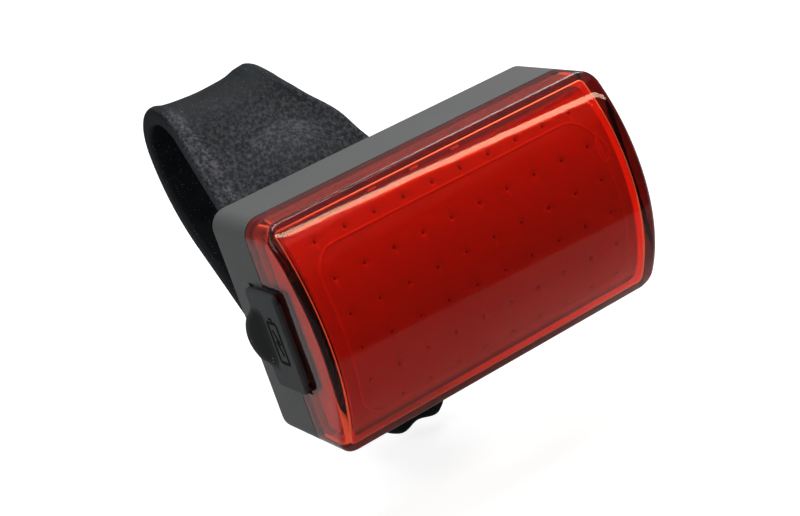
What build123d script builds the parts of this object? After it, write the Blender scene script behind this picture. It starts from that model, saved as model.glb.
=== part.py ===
from build123d import *
import os
from math import cos, sin, radians, degrees, sqrt

# Bike rear light on a rubber strap mount. Millimetres, +Z up.
# The tube that carries it runs along X and its axis is the origin.
# The lens faces -Y, the strap loops round behind the tube on the +Y side.

# Tube, saddle and swivel
tube_radius = 12.7
liner_thickness = 1.0
saddle_thickness = 2.5
saddle_width = 22.0
liner_width = 20.0
saddle_first_angle = 51.0
saddle_last_angle = 265.0
liner_first_angle = 72.0
liner_last_angle = 258.0
swivel_height = 9.0
swivel_gap = 0.1
base_radius = 9.0
base_depth = 1.4
friction_washer_thickness = 0.5
friction_washer_radius = 8.0

# Case
case_length = 60.0
case_height = 36.8
housing_depth = 11.3
lens_side_depth = 6.7
lens_rise = 6.55
corner_radius = 2.8
housing_edge_radius = 0.8
lens_edge_radius = 1.2
housing_wall = 1.8
ledge_width = 1.0
ledge_depth = 3.0
back_wall = 1.6
lens_wall = 1.8
seam_gap = 0.2
lip_depth = 2.0
lip_thickness = 0.9
lip_clearance = 0.1
gasket_clearance = 0.05

# Case screws and the pillars that they run through
screw_inset_x = 4.8
screw_inset_z = 4.8
lens_boss_radius = 2.2
lens_boss_front = 2.6
lens_boss_back = 5.0
lens_boss_clearance = 0.1
pillar_radius = 2.4
pillar_gap = 0.1
case_screw_radius = 0.9
case_screw_head_radius = 1.8
case_screw_head_height = 1.2
case_screw_head_recess = 0.5
case_screw_length = 9.0
screw_clearance = 0.05
pilot_clearance = 0.02

# Circuit board
board_clearance = 0.7
board_thickness = 1.0
board_front = 0.9
board_notch_clearance = 0.5
board_post_radius = 1.7
board_post_left = 14.0
board_post_left_gap = 0.9
board_post_inset = 5.0
board_post_right_height = 6.5
board_screw_radius = 0.7
board_screw_head_radius = 1.3
board_screw_head_height = 0.7
board_screw_length = 4.5
led_length = 3.0
led_depth = 1.3
led_height = 0.8
led_count = 6
led_end_gap = 0.5
charge_led_size = 1.6
charge_led_inset = 3.0
control_chip_size = 5.0
charge_chip_length = 3.0
charge_chip_height = 4.0
chip_rise = 1.0
inductor_size = 4.0
inductor_rise = 1.8
capacitor_length = 1.6
capacitor_height = 0.9
capacitor_rise = 0.8
resistor_length = 1.0
resistor_height = 0.5
resistor_rise = 0.4

# Light guide and reflector
guide_gap = 0.8
guide_thickness = 2.0
guide_end_gap = 2.2
guide_side_gap = 1.4
guide_corner = 4.0
guide_leg_thickness = 1.8
guide_leg_end = 0.5
dimple_radius = 0.35
dimple_depth = 0.5
dimple_end_inset = 2.825
dimple_side_inset = 1.95
dimple_columns = 10
dimple_rows = 6
reflector_gap = 0.4
reflector_thickness = 0.8
reflector_end_inset = 3.5
reflector_clearance = 0.4

# Charging socket
port_height = 9.8
port_front = 2.7
port_back = 1.8
socket_width = 7.5
socket_thickness = 2.6
socket_length = 5.4
socket_wall = 0.3
socket_setback = 2.0
contact_thickness = 0.6
contact_width = 4.6
contact_length = 3.6

# Charging flap
flap_height = 16.0
flap_half_width = 4.2
flap_proud = 1.1
flap_skin_gap = 0.15
flap_corner = 1.4
flap_edge = 0.35
pocket_depth = 0.6
pocket_gap = 0.4
flap_hinge_out = 0.6
flap_inlay_gap = 0.1
lip_reach = 1.9
lip_out = 1.5
lip_height = 10.0
lip_root = 2.4
lip_tip_thickness = 0.6
plug_height = 8.2
plug_front = 1.9
plug_back = 1.1
plug_depth = 1.7
anchor_gap = 0.1
anchor_flange = 0.8
anchor_overlap = 1.2

# Battery
battery_end_gap = 5.8
battery_side_gap = 2.6
battery_thickness = 4.0
foam_thickness = 0.8
battery_boss_gap = 0.6
battery_edge = 1.2
foam_inset = 1.5
lead_radius = 0.6
lead_bend = 2.0
lead_reach = 3.6
lead_spacing = 2.0
lead_height = 8.0

# Power button
button_depth = 4.6
button_height = 7.0
button_width = 3.4
button_proud = 0.6
button_clearance = 0.08
button_floor = 2.0
button_cap_thickness = 2.0
button_edge = 0.3
button_travel = 0.4
stem_radius = 1.2
stem_clearance = 0.08
seal_radius = 2.6
seal_thickness = 0.3
plunger_radius = 1.0
plunger_length = 1.4
plunger_sink = 0.5
switch_length = 3.4
switch_height = 6.0
switch_rise = 4.5

# Swivel screw and insert
insert_radius = 2.2
insert_length = 4.0
swivel_boss_radius = 3.8
swivel_boss_depth = 5.4
swivel_screw_radius = 1.5
swivel_screw_head_radius = 2.75
swivel_screw_head_height = 1.9
swivel_head_top = 12.6
wave_washer_thickness = 0.3
swivel_bore_clearance = 0.08
counterbore_clearance = 0.3
driver_socket_share = 0.5
driver_sides = 6

# Strap
strap_thickness = 3.0
strap_left = -16.0
strap_right = 8.0
pad_right = 14.5
crest_right = 4.8
back_right_drop = 9.0
front_lean = 58.5
front_face_offset = 0.27
pad_start = 16.5
pad_centre = 22.4
crest_radius = 9.4
back_reach = 35.8
back_radius = 26.0
back_lean = 41.4
split_angle = 32.0
split_gap = 0.3
tip_reach = 22.2
tip_half_width = 7.2
tip_centre = -1.2
tip_lobe = 0.7
tip_round = 1.8
taper_start = -4.0
slot_length = 5.4
slot_width = 10.0
slot_first = 11.4
slot_pitch = 8.2
slot_count = 3
slot_corner = 1.2
dome_radius = 7.7
dome_height = 2.4
dome_sink = 0.3

# Bracket tongue under the dome and hook for the strap
tongue_thickness = 1.4
tongue_width = 16.0
tongue_end = 30.0
tongue_root = 14.4
tongue_cover = 0.8
tongue_clearance = 0.05
button_head_radius = 5.2
button_head_height = 1.5
arm_first = 12.0
arm_thickness = 2.4
arm_root = 8.2
arm_width = 16.0
arm_shoulder = 12.8
peg_width = 7.5
peg_end = 19.0
hook_reach = 1.6
hook_thickness = 1.8

overrun = 1.0

# Places that follow from the sizes above
saddle_inner = tube_radius + liner_thickness
saddle_outer = saddle_inner + saddle_thickness
base_front = saddle_outer + base_depth
housing_back = -(base_front + swivel_gap + friction_washer_thickness)
parting = housing_back - housing_depth
half_length = case_length / 2
half_height = case_height / 2
lens_arc_radius = (half_height**2 + lens_rise**2) / (2 * lens_rise)
lens_arc_depth = lens_side_depth + lens_rise - lens_arc_radius
inner_half_length = half_length - housing_wall - ledge_width
inner_half_height = half_height - housing_wall - ledge_width
board_length = 2 * (inner_half_length - board_clearance)
board_height = 2 * (inner_half_height - board_clearance)
board_post_right = half_length - board_post_inset
guide_length = case_length - 2 * (lens_wall + guide_end_gap)
guide_height = case_height - 2 * (lens_wall + guide_side_gap)
guide_leg_length = guide_length - 2 * guide_corner
led_pitch = (guide_leg_length - led_length - 2 * led_end_gap) / (led_count - 1)
dimple_pitch_x = (guide_length - 2 * dimple_end_inset) / (dimple_columns - 1)
dimple_pitch_z = (guide_height - 2 * dimple_side_inset) / (dimple_rows - 1)
reflector_length = guide_length - 2 * reflector_end_inset
reflector_height = guide_height - 2 * (guide_leg_thickness + reflector_clearance)
reflector_inner_half = reflector_height / 2 - reflector_thickness
board_post_left_height = reflector_inner_half - board_screw_head_radius - board_post_left_gap
battery_left = swivel_boss_radius + battery_boss_gap
battery_right = inner_half_length - battery_end_gap
battery_height = 2 * (inner_half_height - battery_side_gap)
screw_x = half_length - screw_inset_x
screw_z = half_height - screw_inset_z
board_back = board_front + board_thickness
inner_back = housing_depth - back_wall

front_along = Vector(0, cos(radians(front_lean)), sin(radians(front_lean)))
front_out = Vector(0, -sin(radians(front_lean)), cos(radians(front_lean)))
back_down = Vector(0, -sin(radians(back_lean)), -cos(radians(back_lean)))
back_out = Vector(0, cos(radians(back_lean)), -sin(radians(back_lean)))
crest_y = back_reach - crest_radius
crest_z = (front_face_offset - crest_radius - crest_y * front_out.Y) / front_out.Z
crest_centre = Vector(0, crest_y, crest_z)
back_centre = Vector(0, back_reach - back_radius, crest_z)
back_face = back_centre.dot(back_out) + back_radius
back_start = back_centre.dot(back_down)
front_end = crest_centre.dot(front_along)
split_out = Vector(0, cos(radians(split_angle)), -sin(radians(split_angle)))
hinge_point = back_centre + split_out * back_radius


def inset_outline(inset):
    """The case's outline in X and Z, drawn in by an inset."""
    return RectangleRounded(case_length - 2 * inset, case_height - 2 * inset, corner_radius / 2)


def at_depth(depth):
    """Y of a place that lies behind (+) or in front of (-) the parting plane."""
    return parting + depth


def swept(sketch, depth_low, depth_high):
    """A sketch in X and Z about the case centre, swept along Y between two depths."""
    place = Plane(origin=(0, at_depth(depth_high), swivel_height), x_dir=(1, 0, 0), z_dir=(0, -1, 0))
    return extrude(place * sketch, amount=depth_high - depth_low)


def block(x_low, x_high, depth_low, depth_high, z_low, z_high):
    """A box given by its sides, with Z about the case centre."""
    middle_x, middle_z = (x_low + x_high) / 2, (z_low + z_high) / 2
    middle = (middle_x, at_depth((depth_low + depth_high) / 2), swivel_height + middle_z)
    return Pos(*middle) * Box(x_high - x_low, depth_high - depth_low, z_high - z_low)


def rod(start, direction, radius, length):
    """A cylinder from a start point along a direction."""
    place = Plane(origin=start, z_dir=direction)
    return place * Cylinder(radius, length, align=(Align.CENTER, Align.CENTER, Align.MIN))


def rod_y(x, z, depth_low, depth_high, radius):
    return rod((x, at_depth(depth_low), swivel_height + z), (0, 1, 0), radius, depth_high - depth_low)


def rod_x(x_low, x_high, depth, z, radius):
    return rod((x_low, at_depth(depth), swivel_height + z), (1, 0, 0), radius, x_high - x_low)


def across(face, x_low, x_high):
    """A face in the YZ plane, swept from one X to another."""
    return extrude(Pos(x_low, 0, 0) * face, amount=x_high - x_low, dir=(1, 0, 0))


def yz_point(point):
    return (point.Y, point.Z)


def ring_sector(inner, outer, first, last):
    """A face in the YZ plane between two radii and two angles about the tube axis."""
    span = last - first
    outer_arc = CenterArc((0, 0), outer, first, span)
    inner_arc = CenterArc((0, 0), inner, first, span)
    edges = [outer_arc, inner_arc, Line(outer_arc @ 0, inner_arc @ 0), Line(outer_arc @ 1, inner_arc @ 1)]
    return Plane.YZ * make_face(edges)


def front_point(along, out):
    return front_along * along + front_out * out


def back_point(down, out):
    return back_down * down + back_out * out


def corner_places():
    return [(x, z) for x in (-screw_x, screw_x) for z in (-screw_z, screw_z)]


def board_screw_places():
    left = [(-board_post_left, z) for z in (-board_post_left_height, board_post_left_height)]
    right = [(board_post_right, z) for z in (-board_post_right_height, board_post_right_height)]
    return left + right


def lens_form(offset, depth_back):
    """The lens's outer form drawn in by an offset, from the given depth to its bulged front."""
    corner = max(corner_radius - offset, corner_radius / 4)
    outline = RectangleRounded(case_length - 2 * offset, case_height - 2 * offset, corner)
    reach = lens_side_depth + lens_rise + overrun
    middle = (-half_length - overrun, at_depth(-lens_arc_depth), swivel_height)
    bulge = rod(middle, (1, 0, 0), lens_arc_radius - offset, case_length + 2 * overrun)
    return swept(outline, -reach, depth_back) & bulge


def rear_housing():
    body = swept(RectangleRounded(case_length, case_height, corner_radius), 0, housing_depth)
    body = fillet(body.faces().sort_by(Axis.Y)[-1].edges(), housing_edge_radius)
    inset = housing_wall + ledge_width
    body -= swept(inset_outline(housing_wall), -overrun, ledge_depth)
    body -= swept(inset_outline(inset), -overrun, inner_back)
    for x, z in corner_places():
        body += rod_y(x, z, lens_boss_back + pillar_gap, housing_depth - housing_edge_radius, pillar_radius)
        body -= rod_y(x, z, lens_boss_back, housing_depth + overrun, case_screw_radius + screw_clearance)
        seat = housing_depth - case_screw_head_height - case_screw_head_recess
        body -= rod_y(x, z, seat, housing_depth + overrun, case_screw_head_radius + screw_clearance)
    for x, z in board_screw_places():
        body += rod_y(x, z, board_back, housing_depth - housing_edge_radius, board_post_radius)
        screw_end = board_back + board_screw_length
        body -= rod_y(x, z, board_front, screw_end, board_screw_radius + pilot_clearance)
    boss_front = housing_depth - swivel_boss_depth
    body += rod_y(0, 0, boss_front, housing_depth - housing_edge_radius, swivel_boss_radius)
    body -= rod_y(0, 0, housing_depth - insert_length, housing_depth + overrun, insert_radius)
    outside = -half_length - overrun
    half_port = port_height / 2
    body -= block(outside, overrun - screw_x, -overrun, port_back, -half_port, half_port)
    half_pocket = flap_height / 2 + pocket_gap
    pocket_back = flap_half_width + pocket_gap
    pocket_floor = pocket_depth - half_length
    body -= block(outside, pocket_floor, -overrun, pocket_back, -half_pocket, half_pocket)
    recess = SlotOverall(button_height + 2 * button_clearance, button_width + 2 * button_clearance)
    floor_x = half_length - button_floor
    body -= extrude(button_plane(floor_x) * recess, amount=button_floor + overrun)
    inner_x = half_length - inset - overrun
    body -= rod_x(inner_x, half_length, button_depth, 0, stem_radius + stem_clearance)
    return body


def button_plane(x):
    """A plane across the right end wall, drawn with the button's long side upright."""
    return Plane(origin=(x, at_depth(button_depth), swivel_height), x_dir=(0, 0, 1), z_dir=(1, 0, 0))


def lens_cover():
    body = lens_form(0, -seam_gap)
    before_apex = parting - lens_side_depth - lens_rise - overrun
    front_edges = body.edges().filter_by_position(Axis.Y, before_apex, parting - lens_side_depth / 2)
    body = fillet(front_edges, lens_edge_radius)
    body -= lens_form(lens_wall, overrun)
    outer_inset = housing_wall + lip_clearance
    inner_inset = outer_inset + lip_thickness
    body += swept(inset_outline(outer_inset) - inset_outline(inner_inset), -lens_wall, lip_depth)
    body += swept(inset_outline(lens_wall / 2) - inset_outline(inner_inset), -lens_wall, -seam_gap)
    in_lip = swept(inset_outline(outer_inset + lip_thickness / 2), -lens_boss_front, lip_depth)
    past_lip = swept(inset_outline(housing_wall + ledge_width + lens_boss_clearance), 0, lens_boss_back)
    for x, z in corner_places():
        boss = rod_y(x, z, -lens_boss_front, lens_boss_back, lens_boss_radius)
        body += (boss & in_lip) + (boss & past_lip)
        pilot_end = inner_back + back_wall - case_screw_length - pillar_gap
        pilot_radius = case_screw_radius + pilot_clearance
        body -= rod_y(x, z, pilot_end - overrun, lens_boss_back + overrun, pilot_radius)
    notch_front = flap_half_width + anchor_gap
    half_notch = flap_height / 2 + pocket_gap
    notch_x = housing_wall + lip_thickness + overrun - half_length
    body -= block(-half_length - overrun, notch_x, -notch_front, lip_depth + overrun, -half_notch, half_notch)
    return body


def case_gasket():
    outer_inset = housing_wall + gasket_clearance
    inner_inset = housing_wall + ledge_width
    return swept(inset_outline(outer_inset) - inset_outline(inner_inset), lip_depth, ledge_depth)


def curved_sheet(offset, thickness, length, height, depth_back):
    """An arched sheet that follows the lens, drawn in by an offset."""
    outer = lens_arc_radius - offset
    middle_y = at_depth(-lens_arc_depth)
    along_x = (1, 0, 0)
    arch = rod((-half_length, middle_y, swivel_height), along_x, outer, case_length)
    bore_start = (-half_length - overrun, middle_y, swivel_height)
    arch -= rod(bore_start, along_x, outer - thickness, case_length + 2 * overrun)
    reach = lens_side_depth + lens_rise
    return arch & block(-length / 2, length / 2, -reach, depth_back, -height / 2, height / 2)


def arch_depth(offset, height):
    """Depth of the face of an arched sheet at a height from the case centre."""
    return -lens_arc_depth - sqrt((lens_arc_radius - offset)**2 - height**2)


def light_guide():
    offset = lens_wall + guide_gap
    sheet = curved_sheet(offset, guide_thickness, guide_length, guide_height, 0)
    reach = lens_side_depth + lens_rise
    sheet &= swept(RectangleRounded(guide_length, guide_height, guide_corner), -reach, 0)
    half = guide_height / 2
    leg_top = arch_depth(offset + guide_thickness / 2, half - guide_leg_thickness)
    for side in (-1, 1):
        inner, outer = sorted((side * half, side * (half - guide_leg_thickness)))
        sheet += block(-guide_leg_length / 2, guide_leg_length / 2, leg_top, -guide_leg_end, inner, outer)
    places = GridLocations(dimple_pitch_x, dimple_pitch_z, dimple_columns, dimple_rows)
    cones = []
    for place in places:
        x, z = place.position.X, place.position.Y
        out_y = -sqrt((lens_arc_radius - offset)**2 - z**2)
        middle = Vector(x, at_depth(-lens_arc_depth), swivel_height)
        outward = Vector(0, out_y, z).normalized()
        surface = middle + Vector(0, out_y, z)
        base = surface + outward * dimple_depth
        cone = Cone(2 * dimple_radius, 0, 2 * dimple_depth, align=(Align.CENTER, Align.CENTER, Align.MIN))
        cones.append(Plane(origin=base, z_dir=outward * -1) * cone)
    return sheet - cones


def reflector():
    offset = lens_wall + guide_gap + guide_thickness + reflector_gap
    sheet = curved_sheet(offset, reflector_thickness, reflector_length, reflector_height, 0)
    half = reflector_height / 2
    wall_top = arch_depth(offset + reflector_thickness / 2, half - reflector_thickness)
    for side in (-1, 1):
        inner, outer = sorted((side * half, side * (half - reflector_thickness)))
        sheet += block(-reflector_length / 2, reflector_length / 2, wall_top, board_front, inner, outer)
    return sheet


def circuit_board():
    half_board, half_rise = board_length / 2, board_height / 2
    board = block(-half_board, half_board, board_front, board_back, -half_rise, half_rise)
    for x, z in corner_places():
        board -= rod_y(x, z, 0, board_back + overrun, lens_boss_radius + board_notch_clearance)
        side_x = half_length if x > 0 else -half_length
        side_z = half_height if z > 0 else -half_height
        notch_x = lens_boss_radius + board_notch_clearance
        x_low, x_high = sorted((x - notch_x if x > 0 else x + notch_x, side_x))
        z_low, z_high = sorted((z, side_z))
        board -= block(x_low, x_high, 0, board_back + overrun, z_low, z_high)
    for x, z in board_screw_places():
        board -= rod_y(x, z, 0, board_back + overrun, board_screw_radius + screw_clearance)
    return board


def on_back(x, z, length, height, rise):
    """A chip on the board's back."""
    x_low, z_low = x - length / 2, z - height / 2
    return block(x_low, x_low + length, board_back, board_back + rise, z_low, z_low + height)


def leds():
    z = guide_height / 2 - guide_leg_thickness / 2
    chips = []
    first = -led_pitch * (led_count - 1) / 2
    for row in (-z, z):
        for index in range(led_count):
            x_low = first + index * led_pitch - led_length / 2
            z_low = row - led_depth / 2
            chips.append(block(x_low, x_low + led_length, board_front - led_height, board_front,
                               z_low, z_low + led_depth))
    return Compound(chips)


def screw(x, z, head_depth, direction, radius, length, head_radius, head_height):
    """A screw along Y whose head sits at a depth and whose shank runs in the given sense."""
    start = (x, at_depth(head_depth), swivel_height + z)
    shank = rod(start, (0, direction, 0), radius, length)
    head = rod(start, (0, -direction, 0), head_radius, head_height)
    socket_start = (x, at_depth(head_depth - direction * head_height), swivel_height + z)
    plane = Plane(origin=socket_start, z_dir=(0, direction, 0))
    key_radius = head_radius * driver_socket_share
    key_depth = head_height * driver_socket_share
    socket = extrude(plane * RegularPolygon(key_radius, driver_sides), amount=key_depth)
    return shank + head - socket


def case_screws():
    seat = housing_depth - case_screw_head_height - case_screw_head_recess
    length = case_screw_length - case_screw_head_height - case_screw_head_recess
    head = case_screw_head_radius, case_screw_head_height
    return Compound([screw(x, z, seat, -1, case_screw_radius, length, *head) for x, z in corner_places()])


def board_screws():
    shank = board_screw_radius, board_screw_length
    head = board_screw_head_radius, board_screw_head_height
    return Compound([screw(x, z, board_front, 1, *shank, *head) for x, z in board_screw_places()])


def usb_shell():
    x_low = socket_setback - half_length
    x_high = x_low + socket_length
    half = socket_width / 2
    front = board_front - socket_thickness
    shell = block(x_low, x_high, front, board_front, -half, half)
    inner = half - socket_wall
    hollow_front, hollow_back = front + socket_wall, board_front - socket_wall
    return shell - block(x_low - overrun, x_high - socket_wall, hollow_front, hollow_back, -inner, inner)


def usb_contacts():
    x_high = socket_setback - half_length + socket_length - socket_wall
    front = board_front - socket_thickness / 2 - contact_thickness / 2
    half = contact_width / 2
    return block(x_high - contact_length, x_high, front, front + contact_thickness, -half, half)


def flap_anchor():
    """The strip between the flap and the case, which fills the lens's notch and is held behind its wall."""
    x_out = anchor_gap - half_length
    x_in = lens_wall + anchor_gap - half_length
    half = flap_height / 2
    strip = block(x_out, x_in, -flap_half_width, -2 * seam_gap, -half, half)
    strip += block(x_in, x_in + anchor_flange, -flap_half_width - anchor_overlap, -2 * seam_gap, -half, half)
    outside, half_port = -half_length - overrun, port_height / 2
    return strip - block(outside, overrun - screw_x, -port_front, overrun, -half_port, half_port)


def usb_flap():
    skin_x = -half_length - flap_skin_gap
    half = flap_height / 2
    outline = RectangleRounded(2 * flap_half_width, flap_height, flap_corner)
    place = Plane(origin=(skin_x, parting, swivel_height), x_dir=(0, 1, 0), z_dir=(-1, 0, 0))
    plate = extrude(place * outline, amount=flap_proud - flap_skin_gap)
    plate = chamfer(plate.faces().sort_by(Axis.X)[0].edges(), flap_edge)
    inlay_x = pocket_depth - flap_inlay_gap - half_length
    inlay_half = half - flap_corner
    flap = plate + block(skin_x, inlay_x, flap_inlay_gap, flap_half_width, -inlay_half, inlay_half)
    half_plug = plug_height / 2
    flap += block(skin_x, plug_depth - half_length, -plug_front, plug_back, -half_plug, half_plug)
    face_x = -half_length - flap_proud
    tip_radius = flap_half_width + lip_reach
    profile = Polyline((face_x + flap_edge, at_depth(flap_half_width - lip_root)),
                       (face_x, at_depth(flap_half_width - lip_root)),
                       (face_x - lip_out, at_depth(tip_radius)),
                       (face_x - lip_out + lip_tip_thickness, at_depth(tip_radius)),
                       (skin_x, at_depth(flap_half_width)),
                       close=True)
    lip_low = swivel_height - lip_height / 2
    lip = extrude(Pos(0, 0, lip_low) * make_face(profile), amount=lip_height, dir=(0, 0, 1))
    middle = Vector(0, parting, swivel_height)
    crown = Plane(origin=middle, z_dir=(1, 0, 0)) * Cylinder(tip_radius, 2 * case_length)
    return flap + (lip & crown)


def battery_cell():
    back = inner_back - foam_thickness
    half = battery_height / 2
    cell = block(battery_left, battery_right, back - battery_thickness, back, -half, half)
    return fillet(cell.edges().filter_by(Axis.Z), battery_edge)


def battery_foam():
    back = inner_back
    front = inner_back - foam_thickness
    half = battery_height / 2 - foam_inset
    return block(battery_left + foam_inset, battery_right - foam_inset, front, back, -half, half)


def battery_lead(height):
    depth = inner_back - foam_thickness - battery_thickness / 2
    z = swivel_height + height
    turn = (battery_left - lead_reach, at_depth(depth), z)
    start, end = (battery_left, at_depth(depth), z), (turn[0], at_depth(board_back), z)
    path = FilletPolyline(start, turn, end, radius=lead_bend)
    section = Plane(origin=path @ 0, z_dir=path % 0) * Circle(lead_radius)
    return sweep(section, path=path)


def power_button():
    inner_x = half_length + button_proud - button_cap_thickness
    outline = SlotOverall(button_height, button_width)
    cap = extrude(button_plane(inner_x) * outline, amount=button_cap_thickness)
    cap = fillet(cap.faces().sort_by(Axis.X)[-1].edges(), button_edge)
    return cap + rod_x(plunger_end(), inner_x, button_depth, 0, stem_radius)


def plunger_end():
    """X where the button's stem meets the switch plunger."""
    return half_length - housing_wall - ledge_width - 2 * seal_thickness


def button_seal():
    x_low = half_length - housing_wall - ledge_width - seal_thickness
    ring = rod_x(x_low, x_low + seal_thickness, button_depth, 0, seal_radius)
    return ring - rod_x(x_low - overrun, x_low + overrun, button_depth, 0, stem_radius + stem_clearance)


def switch_plunger():
    return rod_x(plunger_end() - plunger_length, plunger_end(), button_depth, 0, plunger_radius)


def tact_switch():
    x_high = plunger_end() - plunger_length + plunger_sink
    body = on_back(x_high - switch_length / 2, 0, switch_length, switch_height, switch_rise)
    bore_low = plunger_end() - plunger_length - 2 * button_travel
    return body - rod_x(bore_low, x_high + overrun, button_depth, 0, plunger_radius + stem_clearance)


def friction_washer():
    disc = rod_y(0, 0, housing_depth, housing_depth + friction_washer_thickness, friction_washer_radius)
    return disc - rod_y(0, 0, 0, 2 * housing_depth, swivel_screw_radius + swivel_bore_clearance)


def swivel_insert():
    sleeve = rod_y(0, 0, housing_depth - insert_length, housing_depth, insert_radius)
    return sleeve - rod_y(0, 0, 0, 2 * housing_depth, swivel_screw_radius + pilot_clearance)


def swivel_head_depth():
    return -swivel_head_top - swivel_screw_head_height - parting


def swivel_screw():
    seat = swivel_head_depth()
    length = seat - (housing_depth - insert_length)
    head = swivel_screw_head_radius, swivel_screw_head_height
    return screw(0, 0, seat, -1, swivel_screw_radius, length, *head)


def wave_washer():
    back = swivel_head_depth()
    disc = rod_y(0, 0, back - wave_washer_thickness, back, swivel_screw_head_radius)
    return disc - rod_y(0, 0, 0, 2 * back, swivel_screw_radius + swivel_bore_clearance)


def bracket():
    ring = ring_sector(saddle_inner, saddle_outer, saddle_first_angle, saddle_last_angle)
    half = saddle_width / 2
    body = across(ring, -half, half)
    base = rod((0, -base_front, swivel_height), (0, 1, 0), base_radius, base_front - tube_radius)
    body += base
    tube_space = rod((-half_length, 0, 0), (1, 0, 0), saddle_inner, case_length)
    body -= tube_space
    head_seat = swivel_head_depth() - wave_washer_thickness
    body -= rod_y(0, 0, housing_depth, 2 * housing_depth, swivel_screw_radius + swivel_bore_clearance)
    body -= rod_y(0, 0, head_seat, 2 * housing_depth, swivel_screw_head_radius + counterbore_clearance)
    body += tongue(0)
    arm_last = arm_first + arm_thickness
    arm_corners = [back_point(arm_first, arm_root), back_point(arm_first, arm_shoulder),
                   back_point(arm_last, arm_shoulder), back_point(arm_last, arm_root)]
    arm = across(Plane.YZ * make_face(Polyline(*[yz_point(p) for p in arm_corners], close=True)),
                 -arm_width / 2, arm_width / 2)
    hook_last = arm_last + hook_reach
    peg_corners = [back_point(arm_first, arm_root), back_point(arm_first, peg_end),
                   back_point(hook_last, peg_end), back_point(hook_last, peg_end - hook_thickness / 2),
                   back_point(arm_last, peg_end - hook_thickness), back_point(arm_last, arm_root)]
    peg = across(Plane.YZ * make_face(Polyline(*[yz_point(p) for p in peg_corners], close=True)),
                 -peg_width / 2, peg_width / 2)
    return body + arm + peg - tube_space


def tongue(clearance):
    """The bracket's tongue and its round head, grown by a clearance for the strap's pocket."""
    outer = front_face_offset - tongue_cover
    place = Plane(origin=front_point(tongue_root, outer + clearance), x_dir=front_along, z_dir=front_out * -1)
    length = tongue_end - tongue_root + clearance
    width = tongue_width + 2 * clearance
    sheet = Pos(length / 2, 0, 0) * Rectangle(length, width)
    body = extrude(place * sheet, amount=tongue_thickness + 2 * clearance)
    head_base = front_point(pad_centre, outer - tongue_thickness / 2)
    height = tongue_thickness / 2 + button_head_height + clearance
    return body + rod(head_base, front_out, button_head_radius + clearance, height)


def saddle_liner():
    sector = ring_sector(tube_radius, saddle_inner, liner_first_angle, liner_last_angle)
    return across(sector, -liner_width / 2, liner_width / 2)


def strap_root():
    inner_offset = front_face_offset - strap_thickness
    first = front_lean + 90
    crest = yz_point(crest_centre)
    back = yz_point(back_centre)
    last = -split_angle + degrees(split_gap / 2 / back_radius)
    faces = []
    for offset, inward in ((front_face_offset, 0), (inner_offset, strap_thickness)):
        foot, top = front_point(pad_start, offset), front_point(front_end, offset)
        faces.append([Line(yz_point(foot), yz_point(top)),
                      CenterArc(crest, crest_radius - inward, first, -first),
                      CenterArc(back, back_radius - inward, 0, last)])
    outer, inner = faces
    ends = [Line(outer[0] @ 0, inner[0] @ 0), Line(outer[2] @ 1, inner[2] @ 1)]
    root = across(Plane.YZ * make_face(outer + inner + ends), strap_left, pad_right)
    root -= side_cuts()
    root += dome()
    root -= tongue(tongue_clearance)
    return root


def cut_face(curve, foot, above):
    """A face in X and Z that lies to the right of a curve, from its foot up past the crest."""
    outside = pad_right + overrun
    start, end = curve @ 0, curve @ 1
    corners = [(end.X, end.Y), (crest_right, above), (outside, above), (outside, foot), (start.X, foot),
               (start.X, start.Y)]
    sides = [Line(a, b) for a, b in zip(corners, corners[1:]) if a != b]
    return make_face([curve, *sides])


def side_cuts():
    """What is cut from the root's right side: the pad narrows to the crest, the back widens again."""
    foot = front_point(pad_start, front_face_offset).Z
    top = crest_z + crest_radius
    front_shares = [(0.21, 1.0), (0.49, 0.72), (0.70, 0.38), (1.0, 0.0)]
    reach = pad_right - crest_right
    points = [(crest_right + reach * b, foot + (top - foot) * a) for a, b in front_shares]
    front = cut_face(Spline(*points, tangents=[(0, 1), (-1, 1)]), foot, top + overrun)
    back_curve = Spline((strap_right, top - back_right_drop), (crest_right, top), tangents=[(0, 1), (0, 1)])
    back = cut_face(back_curve, hinge_point.Z - strap_thickness, top + overrun)
    place = Plane(origin=(0, crest_y, 0), x_dir=(1, 0, 0), z_dir=(0, -1, 0))
    depth = back_reach + overrun
    return extrude(place * front, amount=depth) + extrude(place * back, amount=-depth)


def dome():
    ball_radius = (dome_radius**2 + dome_height**2) / (2 * dome_height)
    centre = front_point(pad_centre, front_face_offset + dome_height - ball_radius)
    ball = Pos(centre) * Sphere(ball_radius)
    foot = front_point(pad_start, front_face_offset - dome_sink)
    place = Plane(origin=foot, x_dir=front_along, z_dir=front_out)
    length = 2 * dome_radius + pad_centre - pad_start
    keep = Pos(length / 2, 0, 0) * Rectangle(length, 2 * ball_radius)
    return ball & extrude(place * keep, amount=dome_height + dome_sink + overrun)


def strap_tail():
    first = -split_angle - degrees(split_gap / 2 / back_radius)
    last = -back_lean
    back = yz_point(back_centre)
    outer = CenterArc(back, back_radius, first, last - first)
    inner = CenterArc(back, back_radius - strap_thickness, first, last - first)
    edges = [outer, inner, Line(outer @ 0, inner @ 0), Line(outer @ 1, inner @ 1)]
    bend = across(Plane.YZ * make_face(edges), strap_left, strap_right)
    place = Plane(origin=back_point(0, back_face), x_dir=back_down, z_dir=back_out * -1)
    tail = extrude(place * make_face(tail_outline()), amount=strap_thickness)
    slot = RectangleRounded(slot_length, slot_width, slot_corner)
    for index in range(slot_count):
        middle = slot_first + slot_length / 2 - index * slot_pitch
        tail -= extrude(place * Pos(middle, 0, -overrun) * slot, amount=strap_thickness + 2 * overrun)
    return bend + tail


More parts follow.
